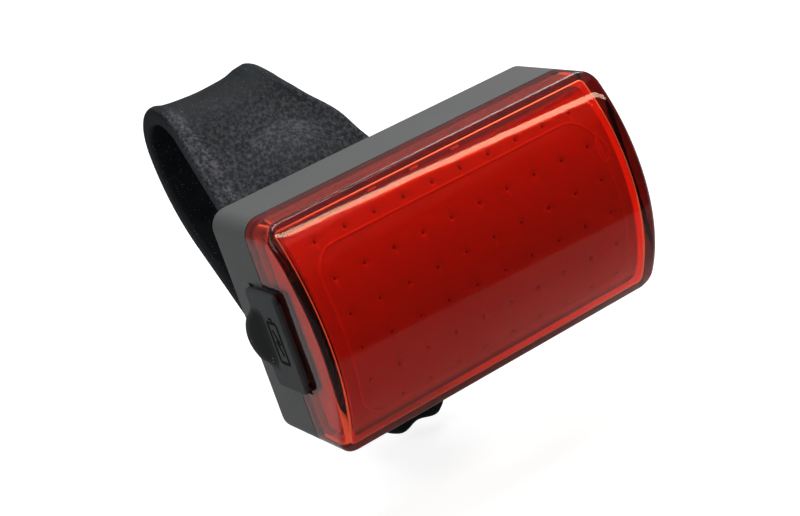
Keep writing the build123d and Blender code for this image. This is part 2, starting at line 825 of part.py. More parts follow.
def tail_outline():
    """The straight tail in its own plane: distance down the strap, then X."""
    side = tip_centre + tip_half_width, tip_centre - tip_half_width
    shoulder = tip_reach - tip_lobe - tip_round
    taper_shares = [(0, 0), (0.45, 0.28), (0.75, 0.75), (1, 1)]
    span = shoulder - taper_start
    right = [(taper_start + span * a, strap_right + (side[0] - strap_right) * b) for a, b in taper_shares]
    left = [(taper_start + span * a, strap_left + (side[1] - strap_left) * b) for a, b in taper_shares]
    peak = tip_half_width / 2
    dip = (tip_reach - tip_lobe, tip_centre)
    right_peak, left_peak = (tip_reach, tip_centre + peak), (tip_reach, tip_centre - peak)
    edges = [Line((back_start, strap_left), (back_start, strap_right)),
             Line((back_start, strap_right), right[0]), Spline(*right, tangents=[(1, 0), (1, 0)]),
             Spline(right[-1], right_peak, dip, left_peak, left[-1], tangents=[(1, 0), (-1, 0)]),
             Spline(*left, tangents=[(1, 0), (1, 0)]), Line(left[0], (back_start, strap_left))]
    return edges


def chips_at(places, length, height, rise):
    """Chips on the board's back, at shares of half its length and height."""
    half_x, half_z = board_length / 2, board_height / 2
    return Compound([on_back(x * half_x, z * half_z, length, height, rise) for x, z in places])


def charge_led():
    x = -board_length / 2 + charge_led_inset
    z = port_height / 2 + charge_led_size
    half = charge_led_size / 2
    return block(x - half, x + half, board_front - led_height, board_front, z - half, z + half)


def control_chip():
    return chips_at([(-0.30, -0.40)], control_chip_size, control_chip_size, chip_rise)


def charge_chip():
    return chips_at([(-0.75, 0.34)], charge_chip_length, charge_chip_height, chip_rise)


def inductor():
    return chips_at([(-0.32, 0.50)], inductor_size, inductor_size, inductor_rise)


def capacitors():
    return chips_at([(-0.75, -0.34), (-0.75, -0.54), (-0.11, -0.60)], capacitor_length, capacitor_height,
                    capacitor_rise)


def resistors():
    return chips_at([(-0.60, -0.13), (-0.60, 0.07), (-0.45, 0.13), (-0.11, -0.34), (-0.34, -0.74)],
                    resistor_length, resistor_height, resistor_rise)


pieces = {
    "bracket": bracket, "saddle_liner": saddle_liner, "strap_root": strap_root, "strap_tail": strap_tail,
    "rear_housing": rear_housing, "lens_cover": lens_cover, "case_gasket": case_gasket,
    "light_guide": light_guide, "reflector": reflector, "circuit_board": circuit_board, "leds": leds,
    "usb_shell": usb_shell, "usb_contacts": usb_contacts, "flap_anchor": flap_anchor, "usb_flap": usb_flap,
    "battery_cell": battery_cell, "battery_foam": battery_foam,
    "battery_lead_red": lambda: battery_lead(lead_height + lead_spacing),
    "battery_lead_black": lambda: battery_lead(lead_height),
    "power_button": power_button, "button_seal": button_seal, "switch_plunger": switch_plunger,
    "tact_switch": tact_switch, "friction_washer": friction_washer, "swivel_insert": swivel_insert,
    "swivel_screw": swivel_screw, "wave_washer": wave_washer, "case_screws": case_screws,
    "board_screws": board_screws, "charge_led": charge_led, "control_chip": control_chip,
    "charge_chip": charge_chip, "inductor": inductor, "capacitors": capacitors, "resistors": resistors,
}

os.makedirs("parts", exist_ok=True)
for name, make in pieces.items():
    export_step(make(), f"parts/{name}.step")
print("strap hinge at Y, Z", hinge_point.Y, hinge_point.Z)
print("flap hinge at X, Y", -half_length - flap_hinge_out, parting - flap_half_width)
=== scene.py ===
from math import cos, pi, radians, sin
from types import SimpleNamespace

import bpy
import numpy as np
from mathutils import Matrix, Vector


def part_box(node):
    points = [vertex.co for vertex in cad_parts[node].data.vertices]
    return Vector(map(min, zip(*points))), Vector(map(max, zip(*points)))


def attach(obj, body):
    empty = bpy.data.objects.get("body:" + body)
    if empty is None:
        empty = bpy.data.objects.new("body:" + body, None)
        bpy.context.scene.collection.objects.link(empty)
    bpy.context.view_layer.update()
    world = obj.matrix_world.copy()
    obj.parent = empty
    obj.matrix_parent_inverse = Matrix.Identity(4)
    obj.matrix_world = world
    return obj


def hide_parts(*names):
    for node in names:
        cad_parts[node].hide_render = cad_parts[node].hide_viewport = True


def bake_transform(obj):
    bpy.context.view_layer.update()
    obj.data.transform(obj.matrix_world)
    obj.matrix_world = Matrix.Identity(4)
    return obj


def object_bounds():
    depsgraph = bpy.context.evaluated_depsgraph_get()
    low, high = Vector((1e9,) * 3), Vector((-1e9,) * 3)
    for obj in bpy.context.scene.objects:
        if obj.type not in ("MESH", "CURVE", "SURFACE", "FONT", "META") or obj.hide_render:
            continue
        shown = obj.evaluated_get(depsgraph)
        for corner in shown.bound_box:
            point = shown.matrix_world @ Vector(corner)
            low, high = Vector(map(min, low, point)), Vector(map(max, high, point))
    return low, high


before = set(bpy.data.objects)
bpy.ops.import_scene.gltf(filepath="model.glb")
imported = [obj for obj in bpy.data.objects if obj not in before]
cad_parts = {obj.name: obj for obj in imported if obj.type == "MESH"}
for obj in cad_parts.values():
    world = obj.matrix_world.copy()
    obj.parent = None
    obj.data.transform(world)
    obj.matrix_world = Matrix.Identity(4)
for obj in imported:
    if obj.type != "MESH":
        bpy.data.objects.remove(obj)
cadLow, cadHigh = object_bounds()
mm = 0.001
edgeAngle = 35  # degrees; a sharper fold shows as an edge
sliver = 0.015 * mm  # points nearer than this after a cut become one
overrun = 1.0 * mm  # how far a cutter stands out of what it cuts
acrylic = 1.49  # the clear plastic's index of refraction


def sizes(plain=(), **lengths):
    # a piece's values by name: plain ones as they are, lengths given in millimetres and kept in metres
    scaled = {name: tuple(part * mm for part in value) if isinstance(value, tuple) else value * mm
              for name, value in lengths.items()}
    return SimpleNamespace(**dict(plain), **scaled)


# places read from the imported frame
housingLow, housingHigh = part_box("rear_housing")
partingY = housingLow.y
centreZ = (housingLow.z + housingHigh.z) / 2
halfLength = housingHigh.x
halfHeight = (housingHigh.z - housingLow.z) / 2
print("frame read, parting plane at", round(partingY / mm, 2), "mm")


# mesh helpers

def gridFaces(rows, columns, closed, rowsClosed=False):
    # quads between neighbouring rows of a grid of points, the last column joined to the first when closed
    wide = columns if closed else columns - 1
    row, column = np.meshgrid(np.arange(rows if rowsClosed else rows - 1), np.arange(wide), indexing="ij")
    here = row * columns
    onward = (row + 1) % rows * columns
    side = (column + 1) % columns
    return np.stack([here + column, here + side, onward + side, onward + column], -1).reshape(-1, 4)


def spots(x, y, z):
    # points from their coordinates, each of them an array or one number for all
    return np.stack(np.broadcast_arrays(x, y, z), -1)


def outward(points, faces):
    # the faces of a closed shell, turned round if its volume, a sum of corner products, comes out negative
    volume = 0
    for size in {len(face) for face in faces}:
        fans = np.array([face for face in faces if len(face) == size])
        for turn in range(1, size - 1):
            volume += (points[fans[:, 0]] * np.cross(points[fans[:, turn]], points[fans[:, turn + 1]])).sum()
    return faces if volume >= 0 else [face[::-1] for face in faces]


def smoothStep(low, high, value):
    t = np.clip((value - low) / (high - low), 0, 1)
    return t * t * (3 - 2 * t)


def bell(value, middle, half):
    # 1 at the middle, and the exponential of minus the square of the distance in halves beside it
    return np.exp(-((value - middle) / half)**2)


def makePiece(name, points, faces, sharpAngle=edgeAngle):
    points, faces = np.asarray(points, float), [list(face) for face in faces]
    if len(faces) > 1:
        faces = outward(points, faces)
    mesh = bpy.data.meshes.new(name)
    mesh.from_pydata(points.tolist(), [], faces)
    mesh.validate()
    mesh.shade_smooth()
    mesh.set_sharp_from_angle(angle=radians(sharpAngle))
    piece = bpy.data.objects.new(name, mesh)
    bpy.context.scene.collection.objects.link(piece)
    return piece


def carve(piece, cutters, overlaps=False):
    # cuts the cutters out of a piece for good and removes them; slivers are welded, except where the piece's
    # own shells overlap
    for cutter in cutters:
        cut = piece.modifiers.new("cut", "BOOLEAN")
        cut.object = cutter
        cut.solver = "EXACT"
        cut.use_self = overlaps
    if not overlaps:
        piece.modifiers.new("weld", "WELD").merge_threshold = sliver
    settle(piece)
    for cutter in cutters:
        bpy.data.objects.remove(cutter)
    piece.data.shade_smooth()
    piece.data.set_sharp_from_angle(angle=radians(edgeAngle))


def settle(piece):
    # the piece's modifiers are applied to its mesh
    seen = piece.evaluated_get(bpy.context.evaluated_depsgraph_get())
    made = bpy.data.meshes.new_from_object(seen)
    piece.modifiers.clear()
    piece.data = made


def paint(piece, name, values):
    # a value at each point of the piece, for its material to read
    piece.data.attributes.new(name, "FLOAT", "POINT").data.foreach_set("value", values.astype(np.float32))


def roundedOutline(halfWide, halfTall, radius, sideSteps, endSteps, cornerSteps):
    # points of a rectangle with round corners, from the right side's foot on, and the outward normal at each
    turn = np.linspace(0, pi / 2, cornerSteps + 1)
    corners = [(1, 1, 0), (-1, 1, 1), (-1, -1, 2), (1, -1, 3)]
    points, normals = [], []
    for signX, signZ, quarter in corners:
        angle = turn + quarter * pi / 2
        normal = np.stack([np.cos(angle), np.sin(angle)], -1)
        middle = np.array([signX * (halfWide - radius), signZ * (halfTall - radius)])
        points.append(middle + radius * normal)
        normals.append(normal)
    wholePoints, wholeNormals = [], []
    for index in range(4):
        follow = points[(index + 1) % 4]
        steps = sideSteps if index % 2 == 0 else endSteps
        share = np.linspace(0, 1, steps + 1)[1:-1, None]
        bridge = points[index][-1] * (1 - share) + follow[0] * share
        wholePoints += [points[index], bridge]
        wholeNormals += [normals[index], np.repeat(normals[index][-1:], len(bridge), 0)]
    return np.concatenate(wholePoints), np.concatenate(wholeNormals)


def joined(shells):
    # several shells of points and faces as one list of each
    points, faces, start = [], [], 0
    for shellPoints, shellFaces in shells:
        points.append(np.asarray(shellPoints).reshape(-1, 3))
        faces += [[start + i for i in face] for face in outward(points[-1], shellFaces)]
        start += len(points[-1])
    return np.concatenate(points), faces


def tubeFaces(rows, columns):
    # the faces of a row of rings, with one face on each end
    ends = [list(range(columns)), list(range((rows - 1) * columns, rows * columns))[::-1]]
    return gridFaces(rows, columns, True)[:, ::-1].tolist() + ends


def closedShell(rings, firstPole, lastPole):
    # rings of points as one shell, each end closed by a fan of triangles round a pole
    rows, count = rings.shape[:2]
    points = np.concatenate([rings.reshape(-1, 3), [firstPole], [lastPole]])
    around = np.arange(count)
    ahead = (around + 1) % count
    start = (rows - 1) * count
    first = np.stack([np.full(count, rows * count), ahead, around], -1)
    last = np.stack([np.full(count, rows * count + 1), start + around, start + ahead], -1)
    return points, gridFaces(rows, count, True).tolist() + first.tolist() + last.tolist()


def sectionShell(section):
    # a section carried along rows, out over one half of its columns and back over the other, with quads
    # between the two halves at each end
    rows, columns = section.shape[:2]
    first = [[columns - 1 - i, columns - 2 - i, i + 1, i] for i in range(columns // 2 - 1)]
    last = [[(rows - 1) * columns + i for i in face[::-1]] for face in first]
    return section.reshape(-1, 3), gridFaces(rows, columns, True).tolist() + first + last


def softBlock(low, high, radius, steps=7):
    # a block with round edges: a fine cube's points are drawn to a smaller block, then pushed out by radius
    low, high = np.array(low, float), np.array(high, float)
    line = np.linspace(-1, 1, steps)
    first, second = np.meshgrid(line, line, indexing="ij")
    shells = []
    for axis in range(3):
        for sign in (-1, 1):
            cube = np.empty((steps, steps, 3))
            cube[..., axis] = sign
            cube[..., (axis + 1) % 3] = first
            cube[..., (axis + 2) % 3] = second * sign
            shells.append((cube, gridFaces(steps, steps, False).tolist()))
    points, faces = joined(shells)
    keys, back = np.unique(np.round(points, 6), axis=0, return_inverse=True)
    back = back.ravel()
    core = (low + high) / 2 + keys * ((high - low) / 2 - radius)
    push = keys / np.linalg.norm(keys, axis=1)[:, None]
    return core + radius * push, [[int(back[i]) for i in face] for face in faces]


def beadAlong(path, normals, halfWide, high, closed, sides=10, root=0.05 * mm):
    # a low bead carried along a path on a surface: half an ellipse above the surface and a thin root below it
    if closed:
        ahead, behind = np.roll(path, -1, 0), np.roll(path, 1, 0)
    else:
        ahead = np.concatenate([path[1:], 2 * path[-1:] - path[-2:-1]])
        behind = np.concatenate([2 * path[:1] - path[1:2], path[:-1]])
    tangent = (ahead - behind) / np.linalg.norm(ahead - behind, axis=1)[:, None]
    side = np.cross(tangent, normals)
    side /= np.linalg.norm(side, axis=1)[:, None]
    turn = np.linspace(0, 2 * pi, sides, endpoint=False)
    up = np.where(np.sin(turn) > 0, np.sin(turn) * high, np.sin(turn) * root)
    rings = path[:, None] + side[:, None] * (np.cos(turn) * halfWide)[None, :, None] \
        + normals[:, None] * up[None, :, None]
    rows = len(path)
    faces = gridFaces(rows, sides, True, True)[:, ::-1].tolist() if closed else tubeFaces(rows, sides)
    return rings.reshape(-1, 3), faces


# shader helpers

def shaderNode(tree, kind, **settings):
    node = tree.nodes.new(kind)
    for key, value in settings.items():
        if hasattr(node, key):
            setattr(node, key, value)
        else:
            node.inputs[key.replace("_", " ")].default_value = value
    return node


def texture(tree, kind, **settings):
    # a texture node laid out in the object's own space
    node = shaderNode(tree, kind, **settings)
    tree.links.new(tree.nodes.new("ShaderNodeTexCoord").outputs["Object"], node.inputs["Vector"])
    return node


def newMaterial(name):
    # a material, its node tree and the tree's shader
    material = bpy.data.materials.new(name)
    material.use_nodes = True
    return material, material.node_tree, material.node_tree.nodes["Principled BSDF"]


def addBump(tree, shader, height, depth):
    # the height as bump, depth millimetres deep
    bump = shaderNode(tree, "ShaderNodeBump", Strength=1.0, Distance=depth * mm)
    tree.links.new(height, bump.inputs["Height"])
    tree.links.new(bump.outputs[0], shader.inputs["Normal"])


def newGroup(name, inputs, outputs):
    # a node group with float inputs (name, default) and named outputs
    group = bpy.data.node_groups.new(name, "ShaderNodeTree")
    for label, value in inputs:
        socket = group.interface.new_socket(name=label, in_out="INPUT", socket_type="NodeSocketFloat")
        socket.default_value = value
    for label in outputs:
        group.interface.new_socket(name=label, in_out="OUTPUT", socket_type="NodeSocketFloat")
    return group, group.nodes.new("NodeGroupInput"), group.nodes.new("NodeGroupOutput")


def mathNode(tree, operation, first, second=None, third=None):
    node = tree.nodes.new("ShaderNodeMath")
    node.operation = operation
    for index, value in enumerate((first, second, third)):
        if value is None:
            continue
        if isinstance(value, (int, float)):
            node.inputs[index].default_value = value
        else:
            tree.links.new(value, node.inputs[index])
    return node.outputs[0]


def mouldGrain(noises=((1.0, 0.6), (2.7, 0.4))):
    # fine spark-eroded grain: noises, each with its share of the scale and its weight, added
    group, given, made = newGroup("mouldGrain", [("Scale", 4000.0)], ["Height"])
    total = None
    for factor, weight in noises:
        noise = texture(group, "ShaderNodeTexNoise", Detail=3.0, Roughness=0.6)
        group.links.new(mathNode(group, "MULTIPLY", given.outputs["Scale"], factor), noise.inputs["Scale"])
        part = mathNode(group, "MULTIPLY", noise.outputs[0], weight)
        total = part if total is None else mathNode(group, "ADD", total, part)
    group.links.new(total, made.inputs["Height"])
    return group


def dustSpecks():
    # small pale specks: the places near a cell's centre, in the share of the cells that their colour picks
    group, given, made = newGroup("dustSpecks", [("Scale", 900.0), ("Size", 0.16), ("Amount", 0.5)], ["Mask"])
    cells = texture(group, "ShaderNodeTexVoronoi", Randomness=1.0)
    group.links.new(given.outputs["Scale"], cells.inputs["Scale"])
    near = mathNode(group, "LESS_THAN", cells.outputs["Distance"], given.outputs["Size"])
    chance = shaderNode(group, "ShaderNodeSeparateColor")
    group.links.new(cells.outputs["Color"], chance.inputs[0])
    picked = mathNode(group, "LESS_THAN", chance.outputs[0], given.outputs["Amount"])
    group.links.new(mathNode(group, "MULTIPLY", near, picked), made.inputs["Mask"])
    return group


def edgeWearAndHighlight(gain=6.0):
    # how far the rounded normal turns away from the true one, times a gain: high along edges, which it
    # lightens as wear and as a painted highlight
    group, given, made = newGroup("edgeWearAndHighlight", [("Width", 0.0004)], ["Mask"])
    bevel = group.nodes.new("ShaderNodeBevel")
    group.links.new(given.outputs["Width"], bevel.inputs["Radius"])
    normal = group.nodes.new("ShaderNodeNewGeometry").outputs["Normal"]
    dot = group.nodes.new("ShaderNodeVectorMath")
    dot.operation = "DOT_PRODUCT"
    group.links.new(bevel.outputs[0], dot.inputs[0])
    group.links.new(normal, dot.inputs[1])
    away = mathNode(group, "SUBTRACT", 1.0, dot.outputs["Value"])
    group.links.new(mathNode(group, "MULTIPLY", away, gain), made.inputs["Mask"])
    return group


grainGroup, dustGroup, edgeWearHighlightGroup = mouldGrain(), dustSpecks(), edgeWearAndHighlight()


def mixColour(tree, mask, first, second):
    # two colours mixed by a mask, each a tuple or what a node gives
    node = tree.nodes.new("ShaderNodeMix")
    node.data_type = "RGBA"
    tree.links.new(mask, node.inputs[0])
    for socket, colour in ((node.inputs[6], first), (node.inputs[7], second)):
        if isinstance(colour, tuple):
            socket.default_value = (*colour, 1.0)
        else:
            tree.links.new(colour, socket)
    return node.outputs[2]


# a patch's noise is stretched by gain and shift and kept over its floor; specks follow the dust's scale
patch = SimpleNamespace(gain=3.6, shift=-1.45, floor=0.12)
speck = SimpleNamespace(scaleShare=0.5, size=0.09, shade=2.6)


def surfaceFinish(name, colour, second, rough, roughSpread=0.08, mottle=60.0, grain=4000.0, depth=0.02,
                  dust=0.0, dustSize=0.16, dustScale=900.0, dustColour=(0.35, 0.36, 0.36), specks=0.0,
                  wear=0.0, wearColour=(0.3, 0.3, 0.3), attribute=None, attributeColour=(0.2, 0.21, 0.22),
                  patchScale=0.0, **sockets):
    # two colours mixed by a wide noise, then the attribute's colour (on the flap and the light guide a
    # painted shade), edges lightened as wear and as a painted highlight, dust and specks over them, and grain
    # as bump and in the roughness
    material, tree, shader = newMaterial(name)
    wide = texture(tree, "ShaderNodeTexNoise", Scale=mottle, Detail=4.0, Roughness=0.55)
    base = mixColour(tree, wide.outputs[0], colour, second)
    if attribute:
        mark = shaderNode(tree, "ShaderNodeAttribute", attribute_name=attribute)
        mask = mark.outputs["Fac"]
        if patchScale:
            patches = texture(tree, "ShaderNodeTexNoise", Scale=patchScale, Detail=5.0, Roughness=0.7)
            sharp = mathNode(tree, "MULTIPLY_ADD", patches.outputs[0], patch.gain, patch.shift)
            kept = mathNode(tree, "MINIMUM", mathNode(tree, "MAXIMUM", sharp, patch.floor), 1.0)
            mask = mathNode(tree, "MULTIPLY", mask, kept)
        base = mixColour(tree, mask, base, attributeColour)
    # painted highlight: edges lightened by the bevel mask, as wear and as the light a rounded edge catches
    if wear:
        worn = shaderNode(tree, "ShaderNodeGroup", node_tree=edgeWearHighlightGroup)
        amount = mathNode(tree, "MULTIPLY", worn.outputs[0], wear)
        base = mixColour(tree, mathNode(tree, "MINIMUM", amount, 1.0), base, wearColour)
    coarse = dustScale * speck.scaleShare
    for amount, scale, size, shade in ((dust, dustScale, dustSize, 1.0),
                                       (specks, coarse, speck.size, speck.shade)):
        if amount:
            scatter = shaderNode(tree, "ShaderNodeGroup", node_tree=dustGroup, Scale=scale, Size=size,
                                 Amount=amount)
            base = mixColour(tree, scatter.outputs[0], base, tuple(shade * c for c in dustColour))
    tree.links.new(base, shader.inputs["Base Color"])
    fine = shaderNode(tree, "ShaderNodeGroup", node_tree=grainGroup, Scale=grain)
    spread = mathNode(tree, "MULTIPLY_ADD", fine.outputs[0], 2 * roughSpread, rough - roughSpread)
    tree.links.new(spread, shader.inputs["Roughness"])
    addBump(tree, shader, fine.outputs[0], depth)
    for key, value in sockets.items():
        shader.inputs[key.replace("_", " ")].default_value = value
    return material


# the edge amounts and colours below lighten edges as wear and as a painted edge highlight
finishes = {
    "housing": dict(colour=(0.060, 0.063, 0.064), second=(0.072, 0.075, 0.076), rough=0.55, grain=5200.0,
                    depth=0.012, wear=0.25, wearColour=(0.16, 0.165, 0.17), dust=0.07, dustSize=0.11,
                    dustColour=(0.15, 0.155, 0.16), Specular_IOR_Level=0.3),
    "strap": dict(colour=(0.002, 0.003, 0.004), second=(0.013, 0.016, 0.019), rough=0.62, mottle=330.0,
                  grain=3800.0, depth=0.04, dust=0.42, dustSize=0.22, dustScale=1900.0,
                  dustColour=(0.045, 0.052, 0.058), specks=0.30, attribute="rimWear", patchScale=1500.0,
                  attributeColour=(0.13, 0.135, 0.16), Specular_IOR_Level=0.08),
    # the flap's scoop attribute paints shade: the hollow behind the lip turns near black
    "flap": dict(colour=(0.024, 0.028, 0.030), second=(0.034, 0.039, 0.042), rough=0.6, mottle=220.0,
                 grain=4200.0, depth=0.015, dust=0.16, dustSize=0.12, dustColour=(0.10, 0.105, 0.105),
                 wear=0.3, wearColour=(0.09, 0.10, 0.10), attribute="scoopShade",
                 attributeColour=(0.004, 0.005, 0.005), Specular_IOR_Level=0.25),
    "icon": dict(colour=(0.001, 0.001, 0.001), second=(0.003, 0.003, 0.003), rough=0.6, dust=0.10,
                 dustColour=(0.12, 0.12, 0.12), Specular_IOR_Level=0.05),
    "bracket": dict(colour=(0.018, 0.019, 0.020), second=(0.026, 0.027, 0.028), rough=0.45, depth=0.01,
                    wear=0.2, wearColour=(0.07, 0.07, 0.07)),
    "seal": dict(colour=(0.02, 0.021, 0.022), second=(0.03, 0.031, 0.032), rough=0.7),
    "washer": dict(colour=(0.55, 0.54, 0.50), second=(0.62, 0.61, 0.57), rough=0.45),
    "steel": dict(colour=(0.50, 0.50, 0.50), second=(0.60, 0.60, 0.59), rough=0.28, grain=2600.0, depth=0.004,
                  Metallic=1.0),
    "brass": dict(colour=(0.62, 0.42, 0.16), second=(0.70, 0.50, 0.22), rough=0.3, depth=0.004, Metallic=1.0),
    "board": dict(colour=(0.010, 0.10, 0.035), second=(0.015, 0.14, 0.05), rough=0.35, mottle=900.0,
                  depth=0.01),
    "led": dict(colour=(0.80, 0.74, 0.40), second=(0.85, 0.80, 0.55), rough=0.3),
    "chip": dict(colour=(0.012, 0.012, 0.013), second=(0.02, 0.02, 0.021), rough=0.5),
    "ceramic": dict(colour=(0.42, 0.30, 0.18), second=(0.50, 0.37, 0.23), rough=0.5),
    "cell": dict(colour=(0.52, 0.53, 0.54), second=(0.62, 0.63, 0.64), rough=0.35, Metallic=0.8, mottle=200.0,
                 depth=0.03, grain=700.0),
    "foam": dict(colour=(0.22, 0.22, 0.22), second=(0.30, 0.30, 0.30), rough=0.9, depth=0.06, grain=1600.0),
    "wireRed": dict(colour=(0.42, 0.02, 0.015), second=(0.5, 0.03, 0.02), rough=0.4),
    "wireBlack": dict(colour=(0.012, 0.012, 0.012), second=(0.02, 0.02, 0.02), rough=0.4),
    "switch": dict(colour=(0.45, 0.45, 0.44), second=(0.55, 0.55, 0.53), rough=0.3, Metallic=0.9),
    "white": dict(colour=(0.78, 0.78, 0.77), second=(0.84, 0.84, 0.83), rough=0.35, depth=0.006, mottle=40.0),
}
materials = {name: surfaceFinish(name, **values) for name, values in finishes.items()}


def clearPlastic(name, tint, rough, glint, ripple, rippleScale, roughSpread=0.03, lightest=1.05):
    # see-through plastic, its tint up to lightest times as light, with a faint waviness in its normal
    material, tree, shader = newMaterial(name)
    shader.inputs["Transmission Weight"].default_value = 1.0
    shader.inputs["IOR"].default_value = acrylic
    shader.inputs["Specular Tint"].default_value = (*glint, 1.0)
    wide = texture(tree, "ShaderNodeTexNoise", Scale=rippleScale, Detail=2.0)
    lighter = tuple(min(1.0, c * lightest) for c in tint)
    base = mixColour(tree, wide.outputs[0], tint, lighter)
    tree.links.new(base, shader.inputs["Base Color"])
    spread = mathNode(tree, "MULTIPLY_ADD", wide.outputs[0], roughSpread, rough)
    tree.links.new(spread, shader.inputs["Roughness"])
    addBump(tree, shader, wide.outputs[0], ripple)
    return material


lensLook = {"tint": (0.97, 0.095, 0.034), "rough": 0.012, "glint": (0.33, 0.32, 0.33), "ripple": 0.030,
            "rippleScale": 90.0}
lensMaterials = [clearPlastic("lensRed", **lensLook),
                 surfaceFinish("lensFoot", (0.10, 0.005, 0.003), (0.72, 0.040, 0.022), 0.6, mottle=260.0),
                 surfaceFinish("lensSeam", (0.010, 0.004, 0.004), (0.016, 0.006, 0.006), 0.7, mottle=400.0)]
# the guide's attribute paints shade into its dimples and along its top and bottom edges
guideFinish = surfaceFinish("guideOpal", colour=(0.88, 0.88, 0.87), second=(0.95, 0.95, 0.94), rough=0.3,
                            roughSpread=0.03, depth=0.003, mottle=60.0, Transmission_Weight=0.15, IOR=acrylic,
                            Specular_IOR_Level=0.2, attribute="pitAndEdgeShade", attributeColour=(0.12, 0.11, 0.11))
beadFinish = surfaceFinish("guideBead", colour=(0.95, 0.95, 0.94), second=(0.98, 0.98, 0.97), rough=0.3,
                           roughSpread=0.03, depth=0.003, mottle=60.0)

finishNodes = {
    "housing": ["rear_housing"], "bracket": ["bracket"], "seal": ["case_gasket", "button_seal"],
    "white": ["reflector"], "board": ["circuit_board"], "led": ["leds", "charge_led"],
    "steel": ["usb_shell", "swivel_screw", "wave_washer", "case_screws", "board_screws"],
    "chip": ["usb_contacts", "switch_plunger", "control_chip", "charge_chip", "inductor", "resistors"],
    "cell": ["battery_cell"], "foam": ["battery_foam"], "wireRed": ["battery_lead_red"],
    "wireBlack": ["battery_lead_black"], "flap": ["power_button"], "switch": ["tact_switch"],
    "washer": ["friction_washer"], "brass": ["swivel_insert"], "ceramic": ["capacitors"],
}


def putOn(piece, material):
    # the one material that the whole piece wears
    piece.data.materials.clear()
    piece.data.materials.append(material)


for finishName, nodeNames in finishNodes.items():
    for nodeName in nodeNames:
        putOn(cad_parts[nodeName], materials[finishName])


soften = sizes(dict(angle=32), weld=0.002)


def softenNode(node):
    # the node's loose triangles are welded for shading, and split again at its true edges
    node.data.shade_smooth()
    node.modifiers.new("weld", "WELD").merge_threshold = soften.weld
    node.modifiers.new("split", "EDGE_SPLIT").split_angle = radians(soften.angle)


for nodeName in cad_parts:
    softenNode(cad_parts[nodeName])
print("finishes on", sum(map(len, finishNodes.values())), "nodes")


# the lens: a rounded prism whose front is a cylinder along X, as one shell with its inner wall and lip

lens = sizes(dict(outlineSteps=(60, 64, 8)),
             wall=1.8, corner=2.8, edge=1.2, innerEdge=0.7, sideDepth=6.7, seam=0.2, seamShade=0.3,
             lipInset=1.9, lipThick=0.9, lipDepth=2.0, step=1.8, notchHalf=8.4, notchFront=4.2, tightBall=0.3,
             tightFoot=0.8)
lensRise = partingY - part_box("lens_cover")[0].y - lens.sideDepth
arcRadius = (halfHeight**2 + lensRise**2) / (2 * lensRise)
arcY = partingY - lens.sideDepth - lensRise + arcRadius


def lensRings(inset, edge, edgeSteps, frontSteps):
    # rings of points from the foot of the front edge's round to the middle of the front. The round is a ball
    # of the edge's radius that touches wall and front; the front is the cylinder with y = arcY - R cos(a)
    # and z = R sin(a)
    radius = arcRadius - inset
    corner = max(lens.corner - inset - edge, lens.tightBall)
    flat, normal = roundedOutline(halfLength - inset - edge, halfHeight - inset - edge, corner,
                                  *lens.outlineSteps)
    ballRadius = radius - edge
    angle = np.arcsin(flat[:, 1] / ballRadius)
    ball = spots(flat[:, 0], arcY - ballRadius * np.cos(angle), flat[:, 1])
    wallNormal = spots(normal[:, 0], 0.0, normal[:, 1])
    frontNormal = spots(0.0, -np.cos(angle), np.sin(angle))
    between = np.arccos(np.clip((wallNormal * frontNormal).sum(1), -1, 1))
    share = np.linspace(0, 1, edgeSteps)[:, None, None]
    first = np.sin((1 - share) * between[:, None]) / np.sin(between[:, None])
    last = np.sin(share * between[:, None]) / np.sin(between[:, None])
    round = ball + edge * (first * wallNormal + last * frontNormal)
    inward = np.linspace(1, 0, frontSteps)[1:-1, None]
    x, a = flat[None, :, 0] * inward, angle[None] * inward
    front = spots(x, arcY - radius * np.cos(a), radius * np.sin(a))
    return np.concatenate([round, front]), np.array([0, arcY - radius, 0])


def lensShell():
    # the outer front, its wall, the foot's steps and the inner front as one run of rings
    outer, outerPole = lensRings(0, lens.edge, 9, 26)
    inner, innerPole = lensRings(lens.wall, lens.innerEdge, 6, 26)
    lipIn = lens.lipInset + lens.lipThick
    steps = [(0, -lens.seam), (lens.seamShade, -lens.seam), (lens.lipInset, -lens.seam),
             (lens.lipInset, lens.lipDepth), (lipIn, lens.lipDepth), (lipIn, -lens.step),
             (lens.wall, -lens.step)]
    middle = []
    for inset, depth in steps:
        corner = max(lens.corner - inset, lens.tightFoot)
        flat = roundedOutline(halfLength - inset, halfHeight - inset, corner, *lens.outlineSteps)[0]
        middle.append(spots(flat[:, 0], partingY + depth, flat[:, 1]))
    rings = np.concatenate([outer[::-1], np.array(middle), inner])
    points, faces = closedShell(rings, outerPole, innerPole)
    points[:, 2] += centreZ
    piece = makePiece("lensShell", points, faces)
    # the foot's faces, which sit on the housing, take the second material, and its outermost ones the third
    row = np.arange(len(faces)) // rings.shape[1]
    foot = (row >= len(outer)) & (row < len(outer) + len(steps) - 1)
    setMaterials(piece, foot.astype(np.int32) + (row == len(outer)))
    return piece


def setMaterials(piece, index):
    # the lens's three materials, and which of them each face takes
    for material in lensMaterials:
        piece.data.materials.append(material)
    piece.data.polygons.foreach_set("material_index", index.astype(np.int32))


def boxPoints(low, high):
    corners = np.array([[x, y, z] for x in (low[0], high[0]) for y in (low[1], high[1])
                        for z in (low[2], high[2])])
    faces = [(0, 1, 3, 2), (4, 6, 7, 5), (0, 4, 5, 1), (2, 3, 7, 6), (0, 2, 6, 4), (1, 5, 7, 3)]
    return corners, faces


